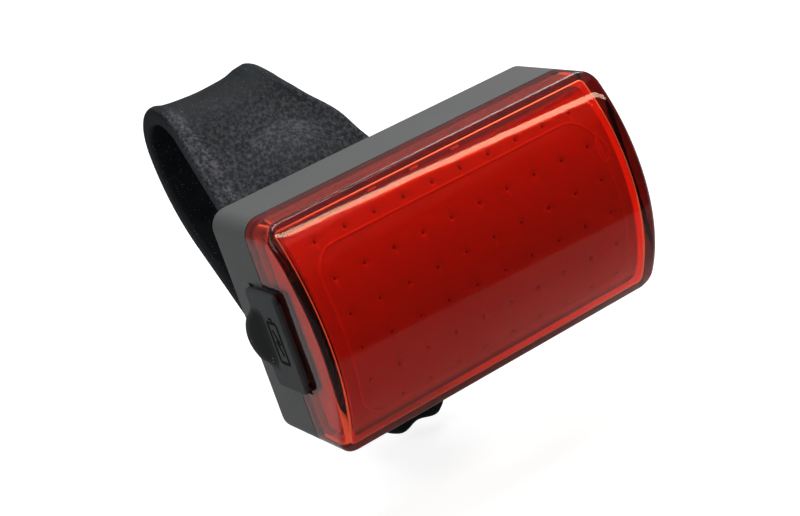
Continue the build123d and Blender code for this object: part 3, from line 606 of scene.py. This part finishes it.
lensPiece = lensShell()
reach = lens.lipInset + lens.lipThick + overrun
notchLow = (-halfLength - overrun, partingY - lens.notchFront, centreZ - lens.notchHalf)
notchHigh = (reach - halfLength, partingY + lens.lipDepth + overrun, centreZ + lens.notchHalf)
notchCut = makePiece("notchCut", *boxPoints(notchLow, notchHigh))
setMaterials(notchCut, np.full(len(notchCut.data.polygons), 2))
carve(lensPiece, [notchCut])
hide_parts("lens_cover")
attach(lensPiece, "light")
print("lens made,", len(lensPiece.data.polygons), "faces")


# the light guide: an arched panel behind the lens with dimples, a frame line, a gate mark, lugs and two legs

guide = sizes(dict(columns=10, rows=6, shade=0.9, pitDark=1.6, pitFade=3.6),
              inset=2.6, thick=2.0, halfLength=27.2, halfHeight=16.1, corner=1.2, dimpleReach=0.55,
              dimpleDepth=0.45, pitchX=5.15, pitchZ=5.3, legHalf=22.0, legOut=15.2, legThick=1.8, legEnd=0.5,
              frameHalf=25.2, frameTop=12.2, frameFoot=-14.0, frameCorner=4.5, beadHalf=0.22, beadHigh=0.16,
              skirt=0.81, skirtEnd=2.2, legRoot=1.2, legRound=0.2, markX=25.3, markZ=7.0, markHalf=1.1,
              markTall=2.2, lugs=(-11.4, -3.9, 3.6), lugHalf=0.8, lugDown=0.35, lugUp=0.5, lugFrom=1.1,
              lugTo=0.1, lugRound=0.15, shadeFrom=1.1, shadeTo=0.6)


def archPoint(x, z, inset):
    # point and outward normal on the arch that lies an inset under the lens's front, at x and a height z
    radius = arcRadius - inset
    angle = np.arcsin(z / radius)
    return (spots(x, arcY - radius * np.cos(angle), centreZ + z), spots(0 * x, -np.cos(angle), np.sin(angle)))


def gridLines(half, pitch, count, reach):
    # fine lines round each dimple, three between dimples, and a few at both ends
    centres = (np.arange(count) - (count - 1) / 2) * pitch
    fine = (centres[:, None] + np.linspace(-reach, reach, 7)).ravel()
    between = (centres[:-1, None] + pitch * np.array([0.35, 0.5, 0.65])).ravel()
    ends = half - np.array([0, 0.15, 0.4, 0.8, 1.4]) * mm
    return np.unique(np.round(np.concatenate([fine, between, ends, -ends]), 7)), centres


def guidePanel():
    # front and back face of the arch over a grid of lines; each dimple is a cone pressed into the front, and
    # the back reaches down as a skirt all round. The legs and lugs are blocks of their own
    xs, dimpleX = gridLines(guide.halfLength, guide.pitchX, guide.columns, guide.dimpleReach)
    zs, dimpleZ = gridLines(guide.halfHeight, guide.pitchZ, guide.rows, guide.dimpleReach)
    x, z = np.meshgrid(xs, zs, indexing="ij")
    past = np.clip(np.abs(z) - guide.halfHeight + guide.corner, 0, guide.corner)
    draw = guide.corner - np.sqrt(guide.corner**2 - past**2)
    x = x * (1 - draw / guide.halfLength)
    away = np.hypot(x - dimpleX[np.abs(x[..., None] - dimpleX).argmin(-1)],
                    z - dimpleZ[np.abs(z[..., None] - dimpleZ).argmin(-1)])
    point, normal = archPoint(x, z, guide.inset)
    dimple = guide.dimpleDepth * np.clip(1 - away / guide.dimpleReach, 0, 1)
    front = point - normal * dimple[..., None]
    back = point - normal * guide.thick
    skirt = (guide.halfLength - np.abs(xs)[:, None] < guide.skirt) | \
        (guide.halfHeight - np.abs(zs)[None] < guide.skirt)
    low = spots(x, partingY - guide.skirtEnd, centreZ + z)
    back = np.where(skirt[..., None], low, back)
    shells = [sectionShell(np.concatenate([front, back[:, ::-1]], 1))]
    # painted shade: the panel is darkened along its top and bottom edges and in each dimple, through the
    # attribute its material reads
    edgeShade = guide.shade * smoothStep(guide.halfHeight - guide.shadeFrom,
                                        guide.halfHeight - guide.shadeTo, np.abs(z))
    paintedShade = np.clip(guide.pitDark - guide.pitFade * away / guide.dimpleReach, 0, 1)
    paintedShade = np.concatenate([np.maximum(paintedShade, edgeShade), edgeShade[:, ::-1]], 1).ravel()
    for side in (-1, 1):
        inner, outer = sorted((side * (guide.legOut - guide.legThick), side * guide.legOut))
        top = archPoint(np.array(0.0), np.array(guide.legOut), guide.inset + guide.legRoot)[0][1]
        shells.append(softBlock((-guide.legHalf, top, centreZ + inner),
                                (guide.legHalf, partingY - guide.legEnd, centreZ + outer),
                                guide.legRound))
    top = archPoint(np.array(0.0), np.array(guide.halfHeight), guide.inset)[0][1]
    edge = centreZ + guide.halfHeight
    for at in guide.lugs:
        shells.append(softBlock((at - guide.lugHalf, top - guide.lugDown, edge - guide.lugFrom),
                                (at + guide.lugHalf, top + guide.lugUp, edge - guide.lugTo),
                                guide.lugRound))
    piece = makePiece("guidePanel", *joined(shells), 40)
    paint(piece, "pitAndEdgeShade", np.pad(paintedShade, (0, len(piece.data.vertices) - len(paintedShade))))
    return piece


def guideBeads():
    # the frame line is a rounded rectangle and the gate mark a drop, both laid on the arch
    middleZ = (guide.frameTop + guide.frameFoot) / 2
    line = roundedOutline(guide.frameHalf, (guide.frameTop - guide.frameFoot) / 2,
                          guide.frameCorner, 40, 80, 10)[0]
    around = np.linspace(0, 2 * pi, 48, endpoint=False)
    drop = np.stack([guide.markX + guide.markHalf * np.sin(around) * np.sin(around / 2),
                     guide.markZ + guide.markTall * np.cos(around)], -1)
    shells = []
    for path in (line + np.array([0, middleZ]), drop):
        point, normal = archPoint(path[:, 0], path[:, 1], guide.inset)
        shells.append(beadAlong(point, normal, guide.beadHalf, guide.beadHigh, True))
    return makePiece("guideBeads", *joined(shells), 60)


panelPiece, beadPiece = guidePanel(), guideBeads()
putOn(panelPiece, guideFinish)
putOn(beadPiece, beadFinish)
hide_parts("light_guide")
for piece in (panelPiece, beadPiece):
    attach(piece, "light")
print("light guide made,", len(panelPiece.data.polygons), "faces")


# the saddle's liner: a ring sector round the tube with ribs on its inner face

liner = sizes(dict(first=72.0, last=258.0, ribs=31, ribPower=1.5),
              tube=12.7, thick=1.0, half=10.0, edge=0.35, groove=0.3, fit=0.02, endZone=1.2)


def linerPad():
    # columns run round the section: outer arc one way, ribbed inner arc back; rows run along the tube
    steps = liner.ribs * 10 + 1
    angle = np.radians(np.linspace(liner.first, liner.last, steps))
    rib = np.clip(0.5 - 0.5 * np.cos(np.linspace(0, 2 * pi * liner.ribs, steps)), 0, 1)**liner.ribPower
    plain = liner.half - liner.endZone
    along = np.concatenate([-liner.half + liner.edge * (1 - np.cos(np.linspace(0, pi / 2, 6))),
                            np.linspace(-plain, plain, 8),
                            liner.half - liner.edge * (1 - np.cos(np.linspace(pi / 2, 0, 6)))])
    inset = np.clip(liner.edge - (liner.half - np.abs(along)), 0, None)
    inset = liner.edge - np.sqrt(np.clip(liner.edge**2 - inset**2, 0, None))
    outer = (liner.tube + liner.thick - inset)[:, None] + 0 * angle
    inner = liner.tube + liner.fit + inset[:, None] + liner.groove * rib
    radius = np.concatenate([outer, inner[:, ::-1]], 1)
    turn = np.concatenate([angle, angle[::-1]])
    points = spots(along[:, None], radius * np.cos(turn), radius * np.sin(turn))
    return makePiece("saddleLiner", *sectionShell(points), 50)


linerPiece = linerPad()
putOn(linerPiece, materials["seal"])
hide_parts("saddle_liner")
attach(linerPiece, "mount")
print("saddle liner made")


# the strap: one band carried along its path in the YZ plane, with its dome, rims, lobed tip and slots

strap = sizes(dict(lean=58.5, backLean=41.4, slotCount=3, tailShare=0.8, faceSteps=96, edgeSteps=6, rows=420,
                   rightAt=(0, 4.5, 6.5, 8.4, 10.3, 11.9, 13.3, 14.6, 15.8, 17.1, 18.5, 19.9, 21.3, 25, 28.7,
                            33, 38, 43),
                   rightEdge=(14.5, 14.5, 13.6, 13.0, 12.5, 11.84, 11.05, 10.17, 9.29, 8.41, 7.63, 6.85, 6.07,
                              5.1, 4.8, 5.2, 6.6, 8.0), rightSmooth=25),
              thick=3.0, left=-16.0, right=8.0, faceOffset=0.27, padStart=16.5, padCentre=22.4,
              crestRadius=9.4, backReach=35.8, backRadius=26.0, tipReach=22.2, tipHalf=7.2, tipCentre=-1.2,
              lobe=0.7, tipRound=1.8, taperStart=-4.0, edge=0.75, domeRadius=8.6, domeHeight=2.8,
              slotLength=5.4, slotWidth=10.0, slotFirst=11.4, slotPitch=8.2, slotCorner=1.2, rim=0.25,
              rimAt=1.3, rimHalf=0.8, sag=0.35, sagSide=5, sagFoot=9, flare=0.55, flareAt=2.1, flareHalf=1.9,
              dip=0.40, dipAt=-6.5, dipHalf=5.0, crestFar=11, crestNear=1, ripple=0.06, rippleAlong=5.1,
              rippleAcross=6.3, domeSoft=0.09, reliefFade=1.2, reliefShift=0.45, bendFrom=11.5, bendTo=-0.5)
# where the strap is worn, for its material: a band beside the left rim, the rim's own line and the dusty pad
strapWear = sizes(dict(bandDrift=0.06, line=0.5, dust=0.50, topShare=0.6),
                  bandAt=2.0, bandHalf=0.9, bandStart=(-2, 12), bandEnd=(8, 1), lineAt=0.55, lineHalf=0.22,
                  lineEnd=14, dustStart=(-4, 3), dustEnd=(7, -4))
lean, backLean = radians(strap.lean), radians(strap.backLean)
alongFront = np.array([cos(lean), sin(lean)])
outFront = np.array([-sin(lean), cos(lean)])
downBack = np.array([-sin(backLean), -cos(backLean)])
outBack = np.array([cos(backLean), -sin(backLean)])
crestY = strap.backReach - strap.crestRadius
crestZ = (strap.faceOffset - strap.crestRadius - crestY * outFront[0]) / outFront[1]
crestMiddle = np.array([crestY, crestZ])
backMiddle = np.array([strap.backReach - strap.backRadius, crestZ])
backFace = backMiddle @ outBack + strap.backRadius
backStart = backMiddle @ downBack
frontEnd = crestMiddle @ alongFront
lengths = np.cumsum([frontEnd - strap.padStart, strap.crestRadius * (lean + pi / 2),
                     strap.backRadius * backLean, strap.tipReach - backStart])


def strapPath(s):
    # outer face's point and outward normal in (Y, Z) at a distance from the pad's foot
    a = s[..., None]
    straight = alongFront * (strap.padStart + a) + outFront * strap.faceOffset
    turn = lean + pi / 2 - (a - lengths[0]) / strap.crestRadius
    crestOut = np.concatenate([np.cos(turn), np.sin(turn)], -1)
    crest = crestMiddle + strap.crestRadius * crestOut
    bend = -(a - lengths[1]) / strap.backRadius
    bendOut = np.concatenate([np.cos(bend), np.sin(bend)], -1)
    back = backMiddle + strap.backRadius * bendOut
    tail = downBack * (backStart + a - lengths[2]) + outBack * backFace
    conditions = [a < lengths[0], a < lengths[1], a < lengths[2]]
    point = np.select([np.repeat(c, 2, -1) for c in conditions], [straight, crest, back], tail)
    normal = np.select([np.repeat(c, 2, -1) for c in conditions],
                       [np.broadcast_to(outFront, straight.shape), crestOut, bendOut],
                       np.broadcast_to(outBack, straight.shape))
    return point, normal


def strapSides(s):
    # left and right edge of the strap at each distance: the right one follows its table, smoothed by a
    # running mean, then both taper to the tip
    tail = s - lengths[2] + backStart
    taper = smoothStep(strap.taperStart, strap.tipReach - strap.lobe - strap.tipRound, tail)
    fine = np.arange(-10, 100, 0.1)
    drawn = np.interp(fine, strap.rightAt, strap.rightEdge)
    count = strap.rightSmooth
    drawn = np.convolve(np.pad(drawn, count // 2, "edge"), np.full(count, 1 / count), "valid")
    right = np.interp(s, fine * mm, drawn * mm)
    right = right + taper * (strap.tipCentre + strap.tipHalf - strap.right)
    left = strap.left + taper * (strap.tipCentre - strap.tipHalf - strap.left)
    return left, right


def strapBand():
    # u runs along the strap and v round its section: outer face, round edge, inner face, round edge
    faceSteps, edgeSteps, edge, thick = strap.faceSteps, strap.edgeSteps, strap.edge, strap.thick
    across = np.linspace(-1, 1, faceSteps)
    corner = np.linspace(0, pi / 2, edgeSteps + 1)[1:]
    # section points: share across (-1..1), inset from the side, depth below the outer face
    share = np.concatenate([across, np.ones(2 * edgeSteps), across[::-1], -np.ones(2 * edgeSteps)])
    sideIn = edge * (1 - np.sin(corner))
    down = edge * (1 - np.cos(corner))
    inset = np.concatenate([np.full(faceSteps, edge), sideIn, sideIn[::-1], np.full(faceSteps, edge),
                            sideIn, sideIn[::-1]])
    depth = np.concatenate([np.zeros(faceSteps), down, thick - down[::-1], np.full(faceSteps, thick),
                            thick - down, down[::-1]])
    inset[faceSteps + 2 * edgeSteps - 1] = edge
    u = np.linspace(0, 1, strap.rows)[:, None]
    tip = strap.lobe / 2 * (1 + np.cos(2 * pi * share)) + \
        strap.tipRound * np.clip(np.abs(share) * 2 - 1, 0, 1)**3
    whole = lengths[3]
    s = u * (whole - tip * smoothStep(strap.tailShare, 1, u))
    left, right = strapSides(s)
    middle, half = (left + right) / 2, (right - left) / 2
    x = middle + share * (half - inset)
    rounding = np.minimum(np.minimum(s, whole - tip - s), edge)
    shrink = edge - np.sqrt(np.maximum(edge**2 - (edge - rounding)**2, 0))
    below = thick / 2 + (depth - thick / 2) * (1 - 2 * shrink / thick)
    # relief on the outer face: a dome on the pad, a low rim along both sides, a shallow hollow between, a
    # faint ripple, and at the crest a raised stripe beside a dip
    facing = 1 - depth / thick
    away = np.hypot(s - (strap.padCentre - strap.padStart), x)
    ball = (strap.domeRadius**2 + strap.domeHeight**2) / 2 / strap.domeHeight
    cap = np.sqrt(np.clip(ball**2 - away**2, 0, None)) - ball + strap.domeHeight
    soft = strap.domeSoft
    dome = soft * np.logaddexp(0, np.clip(cap / soft, -60, None))
    fromSide = np.minimum(x - left, right - x)
    crestAt = lengths[0] + strap.crestRadius * radians(strap.lean)
    atCrest = smoothStep(strap.crestFar, strap.crestNear, np.abs(s - crestAt))
    crown = strap.flare * bell(x, strap.flareAt, strap.flareHalf) - \
        strap.dip * bell(x, strap.dipAt, strap.dipHalf)
    rim = strap.rim * bell(fromSide, strap.rimAt, strap.rimHalf)
    hollow = -strap.sag * smoothStep(0, strap.sagSide, fromSide) * smoothStep(0, strap.sagFoot, s)
    ripple = strap.ripple * np.sin(s / strap.rippleAlong + 0.7) * np.sin(x / strap.rippleAcross + 1.1)
    relief = (dome + rim + hollow + ripple + crown * atCrest) * facing * \
        smoothStep(0, strap.reliefFade, rounding + strap.reliefShift)
    point, normal = strapPath(np.clip(s, 0, None))
    place = point + normal * (relief - below)[..., None]
    points = spots(x, place[..., 0], place[..., 1])
    fromLeft, pastPad, worn = x - left, s - lengths[0], strapWear
    band = bell(fromLeft, worn.bandAt - worn.bandDrift * pastPad, worn.bandHalf)
    span = smoothStep(*worn.bandStart, s) * smoothStep(*worn.bandEnd, pastPad)
    line = worn.line * bell(fromLeft, worn.lineAt, worn.lineHalf) * smoothStep(worn.lineEnd, 0, pastPad)
    dusty = worn.dust * smoothStep(*worn.dustStart, s) * smoothStep(*worn.dustEnd, pastPad)
    wearBand = np.clip(band * span + line + dusty, 0, 1) * (facing > worn.topShare)
    return points, wearBand


def capFaces(offset, flip):
    # closes an end of the band: quads between the outer and the inner face, and one face at each round side
    faceSteps, edgeSteps = strap.faceSteps, strap.edgeSteps
    outer = np.arange(faceSteps)
    inner = faceSteps + 2 * edgeSteps + np.arange(faceSteps)[::-1]
    quads = np.stack([outer[:-1], outer[1:], inner[1:], inner[:-1]], -1) + offset
    total = 2 * (faceSteps + 2 * edgeSteps)
    rightLoop = [faceSteps - 1 + i for i in range(2 * edgeSteps + 2)]
    leftLoop = [(total - 2 * edgeSteps - 1 + i) % total for i in range(2 * edgeSteps + 2)]
    faces = quads.tolist() + [[offset + i for i in rightLoop], [offset + i for i in leftLoop]]
    return [f[::-1] for f in faces] if flip else faces


def roundedPrism(name, middle, axisU, axisV, axisN, halfU, halfV, corner, depthLow, depthHigh):
    # a prism of a rounded rectangle about a middle, between two depths along its normal
    flat = roundedOutline(halfU, halfV, corner, 2, 2, 6)[0]
    rings = [middle + flat[:, :1] * axisU + flat[:, 1:] * axisV + axisN * d for d in (depthLow, depthHigh)]
    return makePiece(name, np.concatenate(rings), tubeFaces(2, len(flat)))


def strapPiece():
    points, wearBand = strapBand()
    rows, columns = points.shape[:2]
    faces = gridFaces(rows, columns, True)[:, ::-1].tolist()
    faces += capFaces(0, False) + capFaces((rows - 1) * columns, True)
    piece = makePiece("strapBand", points.reshape(-1, 3), faces, 50)
    paint(piece, "rimWear", wearBand.ravel())
    axisS = np.array([0, *downBack])
    axisN = np.array([0, *outBack])
    cutters = []
    for index in range(strap.slotCount):
        at = strap.slotFirst + strap.slotLength / 2 - index * strap.slotPitch
        middle = np.array([0, *(downBack * at + outBack * backFace)])
        cutters.append(roundedPrism(f"slotCut{index}", middle, axisS, np.array([1.0, 0, 0]), axisN,
                                    strap.slotLength / 2, strap.slotWidth / 2, strap.slotCorner,
                                    -strap.thick - overrun, overrun))
    carve(piece, cutters)
    return piece


bandPiece = strapPiece()
putOn(bandPiece, materials["strap"])
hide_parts("strap_root", "strap_tail")
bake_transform(bandPiece)
print("strap made,", len(bandPiece.data.polygons), "faces")


# the charging flap: a plate with a thumb lip, its icon, its plug, and the strip in the lens that anchors it

flap = sizes(dict(power=14, around=240, flatShare=0.86, flatRings=48, edgeRings=13, rampPower=1.6,
                  lipFade=1.05, lipFull=0.62, underRound=0.6, scoopFade=1.1, scoopFull=0.8, scoopRim=0.8),
             half=4.45, tall=8.1, skin=0.15, proud=1.1, edge=0.35, lipReach=1.9, lipOut=1.5, lipHalf=5.0,
             lipRoot=2.4, lipTip=0.6, lipSoft=1.0, thinnest=0.2, dip=0.45, dipAt=2.6, dipHalf=1.3,
             scoopFrom=1.0, scoopTo=2.4, iconMiddle=-1.2, iconHalf=1.35, iconTall=3.3, iconLine=0.30,
             iconHigh=0.07, iconCorner=0.4)
plug = sizes(dict(noseShare=0.18, power=6, rings=40, around=96),
             tall=4.1, front=1.9, back=1.1, depth=1.7, bead=0.18, nose=0.5)
anchor = sizes(front=4.15, back=0.4, tall=7.95, inset=0.1, round=0.25, flangeFront=1.1, flangeThick=0.75,
               lap=0.2, socketFront=2.7, socketTall=4.9)
web = sizes(out=0.75, tall=6.4, front=0.4, back=0.15, gap=0.03, round=0.12, rootGap=0.02, rootDeep=0.3,
            rootRound=0.1)


def flapOutline(count):
    # the plate's rounded rectangle, a superellipse of a high power, pushed out at the back to the lip's arc,
    # as a radius at each angle
    angle = np.linspace(0, 2 * pi, count, endpoint=False)
    c, s = np.abs(np.cos(angle)), np.abs(np.sin(angle))
    plate = ((c / flap.half)**flap.power + (s / flap.tall)**flap.power)**(-1 / flap.power)
    lipCircle = flap.half + flap.lipReach
    back = (np.cos(angle) > 0) & (lipCircle * s < flap.lipHalf)
    bulge = np.where(back, lipCircle, 0)
    soft = flap.lipSoft
    return angle, np.logaddexp(plate / soft * 2, bulge / soft * 2) * soft / 2


def flapPlate():
    # heights over a polar grid on the case's left end. Outer: plate, round edge and a concave ramp out to the
    # lip; inner: flat, then under the lip
    angle, radius = flapOutline(flap.around)
    share = np.concatenate([np.linspace(0, flap.flatShare, flap.flatRings),
                            np.linspace(flap.flatShare, 1, flap.edgeRings)[1:]])[:, None]
    depth = share * radius * np.cos(angle)
    tall = share * radius * np.sin(angle)
    fromEdge = np.clip((1 - share) * radius, 0, flap.edge)
    rounding = flap.edge - np.sqrt(flap.edge**2 - (flap.edge - fromEdge)**2)
    ramp = np.clip((depth - flap.half + flap.lipRoot) / (flap.lipReach + flap.lipRoot), 0, 1)
    lipSide = smoothStep(flap.lipHalf * flap.lipFade, flap.lipHalf * flap.lipFull, np.abs(tall))
    rise = flap.lipOut * ramp**flap.rampPower * lipSide
    dip = flap.dip * bell(depth, flap.dipAt, flap.dipHalf) * lipSide
    top = flap.proud + rise - dip - rounding
    under = flap.skin + np.clip(depth - flap.half, 0, None) / flap.lipReach * \
        (flap.lipOut + flap.proud - flap.skin - flap.lipTip) * lipSide + rounding * flap.underRound
    under = np.minimum(under, top - flap.thinnest)
    # painted shade: a mask over the hollow of the ramp behind the lip, which the flap's material darkens to
    # near black
    scoopShade = smoothStep(flap.scoopFrom, flap.scoopTo, depth) * \
        smoothStep(1.0, flap.scoopRim, share) * \
        smoothStep(flap.lipHalf * flap.scoopFade, flap.lipHalf * flap.scoopFull, np.abs(tall))
    outer = spots(-halfLength - top, partingY + depth, centreZ + tall)
    inner = spots(-halfLength - under, partingY + depth, centreZ + tall)
    rings = np.concatenate([outer[1:], inner[:0:-1]])
    piece = makePiece("flapPlate", *closedShell(rings, outer[0, 0], inner[0, 0]), 60)
    paint(piece, "scoopShade", np.concatenate([scoopShade[1:].ravel(), 0 * scoopShade[1:].ravel(), scoopShade[:1, 0], [0]]))
    return piece


def flapIcon():
    # a battery's outline with its terminal and a bolt inside, as fine beads on the plate's face
    half, tall = flap.iconHalf, flap.iconTall
    case = roundedOutline(half, tall, flap.iconCorner, 10, 6, 4)[0]
    bolt = np.array([(0.35, 0.62), (-0.42, -0.05), (0.30, 0.06), (-0.35, -0.62)]) * np.array([half, tall])
    cap = np.array([(-0.35, 1.16), (0.35, 1.16)]) * np.array([half, tall])
    shells = []
    for path, closed in ((case, True), (bolt, False), (cap, False)):
        if not closed:
            at = np.linspace(0, len(path) - 1, 8 * (len(path) - 1) + 1)
            path = np.stack([np.interp(at, np.arange(len(path)), path[:, i]) for i in (0, 1)], -1)
        points = spots(-halfLength - flap.proud, partingY + flap.iconMiddle + path[:, 0],
                       centreZ + path[:, 1])
        normals = np.broadcast_to(np.array([-1.0, 0, 0]), points.shape)
        shells.append(beadAlong(points, normals, flap.iconLine, flap.iconHigh, closed))
    return makePiece("flapIcon", *joined(shells), 60)


def tallBlock(xLow, xHigh, forwardLow, forwardHigh, tall, radius):
    # a soft block between two places along X and two distances in front of the parting plane
    return softBlock((xLow, partingY - forwardHigh, centreZ - tall),
                     (xHigh, partingY - forwardLow, centreZ + tall), radius)


def anchorStrip():
    # the rubber strip in the lens's notch and its flange behind the lens's wall, cut free round the socket,
    # and the web over the wall's edge, with its root, that the flap bends on
    out, front = -halfLength + anchor.inset, anchor.front
    wall = lens.wall + anchor.inset - halfLength
    shells = [tallBlock(out, wall, anchor.back, front, anchor.tall, anchor.round),
              tallBlock(wall - anchor.lap, wall + anchor.flangeThick, anchor.back,
                        front + anchor.flangeFront, anchor.tall, anchor.round),
              tallBlock(-halfLength - web.out, -halfLength - web.gap, front - web.back,
                        front + web.front, web.tall, web.round),
              tallBlock(-halfLength - web.out / 2, out + web.rootDeep, front - web.front,
                        front - web.rootGap, web.tall, web.rootRound)]
    piece = makePiece("flapAnchor", *joined(shells), 40)
    low = (out - 2 * overrun, partingY - anchor.socketFront, centreZ - anchor.socketTall)
    high = (wall + 2 * overrun, partingY + overrun, centreZ + anchor.socketTall)
    carve(piece, [makePiece("anchorCut", *boxPoints(low, high))], True)
    return piece


def flapPlug():
    # a superelliptic block with two sealing beads and a narrowing nose, as rings along X
    along = np.linspace(0, 1, plug.rings)
    bead = plug.bead * np.maximum(0, np.sin(along * 4 * pi))**2
    nose = plug.nose * np.clip((along - 1 + plug.noseShare) / plug.noseShare, 0, 1)**2
    angle = np.linspace(0, 2 * pi, plug.around, endpoint=False)
    halfY = (plug.front + plug.back) / 2 - plug.bead
    shape = ((np.abs(np.cos(angle)) / halfY)**plug.power +
             (np.abs(np.sin(angle)) / (plug.tall - plug.bead))**plug.power)
    radius = shape**(-1 / plug.power) + (bead - nose)[:, None]
    x = -halfLength - flap.skin + along * (plug.depth + flap.skin)
    middleY = partingY + (plug.back - plug.front) / 2
    rings = spots(x[:, None], middleY + radius * np.cos(angle), centreZ + radius * np.sin(angle))
    return makePiece("flapPlug", rings.reshape(-1, 3), tubeFaces(plug.rings, plug.around), 50)


platePiece, plugPiece, iconPiece, anchorPiece = flapPlate(), flapPlug(), flapIcon(), anchorStrip()
for piece in (platePiece, plugPiece, iconPiece, anchorPiece):
    putOn(piece, materials["icon" if piece is iconPiece else "flap"])
    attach(piece, "light" if piece is anchorPiece else "usb_flap")
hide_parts("usb_flap")
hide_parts("flap_anchor")
print("flap made")


# camera, fitted to the photograph's own view of the case's corners

view = SimpleNamespace(place=(-0.119747, -0.259149, 0.099230), forward=(0.41471, 0.85006, -0.32468),
                       right=(0.80552, -0.50892, -0.30354), lens=81.4)
forward = Vector(view.forward).normalized()
right = Vector(view.right).normalized()
up = right.cross(forward)
camera = bpy.data.objects.new("camera", bpy.data.cameras.new("camera"))
camera.matrix_world = Matrix.Translation(view.place) @ Matrix((right, up, -forward)).transposed().to_4x4()
camera.data.sensor_width = 36
camera.data.lens = view.lens
camera.data.clip_start, camera.data.clip_end = 0.01, 100
bpy.context.scene.collection.objects.link(camera)
bpy.context.scene.camera = camera

# light and floor

studio = sizes(dict(world=0.30, floorHalf=8, floorColour=0.38, floorGlow=0.80, floorMirror=0.05,
                    throughGlass=0.15, aim=(0, -0.02, 0.01), level=(0.88, -0.475, 0),
                    lamps=[("strip", (0.265, -0.39, 0.40), (0.34, 0.028), 0.80, (1.0, 0.78, 0.52)),
                           ("key", (0.10, -0.10, 0.75), (0.40, 0.30), 4.2, (1, 1, 1)),
                           ("overhead", (0.45, 0.30, 0.55), (0.35, 0.30), 2.0, (1, 1, 1)),
                           ("leftFill", (-0.62, -0.10, 0.42), (0.35, 0.35), 1.6, (1, 1, 1))],
                    card=[(-0.060, -0.1125), (0.140, -0.0637)], cardFoot=-0.0272, cardTop=0.047,
                    roomRadius=1.0, roomTop=0.85, roomGlow=0.22, cardGlow=0.12),
               floorDrop=1.0)


def seenShare(tree, mirrored=1.0):
    # 1 for what the eye sees straight, mirrored for what it sees in a mirror, throughGlass for what it sees
    # through clear plastic, 0 for light that falls on a surface
    path = tree.nodes.new("ShaderNodeLightPath")
    mirror = mathNode(tree, "MULTIPLY", path.outputs["Is Glossy Ray"], mirrored)
    through = mathNode(tree, "MULTIPLY", path.outputs["Is Transmission Ray"], studio.throughGlass)
    indirect = mathNode(tree, "MAXIMUM", mirror, through)
    seen = mathNode(tree, "MAXIMUM", path.outputs["Is Camera Ray"], indirect)
    return mathNode(tree, "MULTIPLY", seen, mathNode(tree, "LESS_THAN", path.outputs["Diffuse Depth"], 0.5))


world = bpy.data.worlds.new("studio")
bpy.context.scene.world = world
world.use_nodes = True
back = world.node_tree.nodes["Background"]
back.inputs["Color"].default_value = (1, 1, 1, 1)
strength = mathNode(world.node_tree, "MULTIPLY_ADD", seenShare(world.node_tree), 1 - studio.world,
                    studio.world)
world.node_tree.links.new(strength, back.inputs["Strength"])

for name, place, size, power, colour in studio.lamps:
    lamp = bpy.data.lights.new(name, "AREA")
    lamp.color = colour
    lamp.shape = "RECTANGLE"
    lamp.size, lamp.size_y = size
    lamp.energy = power
    holder = bpy.data.objects.new(name, lamp)
    holder.location = place
    aim = (Vector(studio.aim) - Vector(place)).normalized()
    level = Vector(studio.level)
    level = (level - aim * aim.dot(level)).normalized()
    holder.rotation_euler = Matrix((level, (-aim).cross(level), -aim)).transposed().to_euler()
    bpy.context.scene.collection.objects.link(holder)

floorZ = cadLow.z - studio.floorDrop
far = studio.floorHalf
corners = [(-far, -far, floorZ), (far, -far, floorZ), (far, far, floorZ), (-far, far, floorZ)]
floor = makePiece("floor", corners, [(0, 1, 2, 3)])
floorMaterial = surfaceFinish("floorPaper", (studio.floorColour,) * 3, (studio.floorColour * 1.02,) * 3,
                              0.9, mottle=3.0)
tree = floorMaterial.node_tree
glow = mathNode(tree, "MULTIPLY", seenShare(tree, studio.floorMirror), studio.floorGlow)
tree.links.new(glow, tree.nodes["Principled BSDF"].inputs["Emission Strength"])
tree.nodes["Principled BSDF"].inputs["Emission Color"].default_value = (1, 1, 1, 1)
putOn(floor, floorMaterial)


def screen(name, points, faces, glow):
    # a dark surface with a plain glow, which only reflections see
    piece = makePiece(name, points, faces)
    putOn(piece, surfaceFinish(name + "Grey", (0.004, 0.004, 0.004), (0.006, 0.006, 0.006), 1.0, mottle=3.0,
                               Emission_Color=(1, 1, 1, 1), Emission_Strength=glow))
    for ray in ("camera", "diffuse", "transmission", "shadow", "volume_scatter"):
        setattr(piece, "visible_" + ray, False)
    return piece


# a dark card in front, which the lens also lets through and which gives it its deep middle band, and a dim
# room wall all round
corners = [(x, y, z) for z in (studio.cardFoot, studio.cardTop) for x, y in studio.card]
screen("darkCard", corners, [(0, 1, 3, 2)], studio.cardGlow).visible_transmission = True
turn = np.linspace(0, 2 * pi, 48, endpoint=False)
ring = studio.roomRadius * spots(np.cos(turn), np.sin(turn), 0.0)
rings = [ring + np.array([0, 0, z]) for z in (floorZ, studio.roomTop)]
screen("roomWall", np.concatenate(rings), gridFaces(2, 48, True).tolist(), studio.roomGlow)
bpy.context.scene.view_settings.view_transform = "Standard"
print("camera, lamps and floor set")
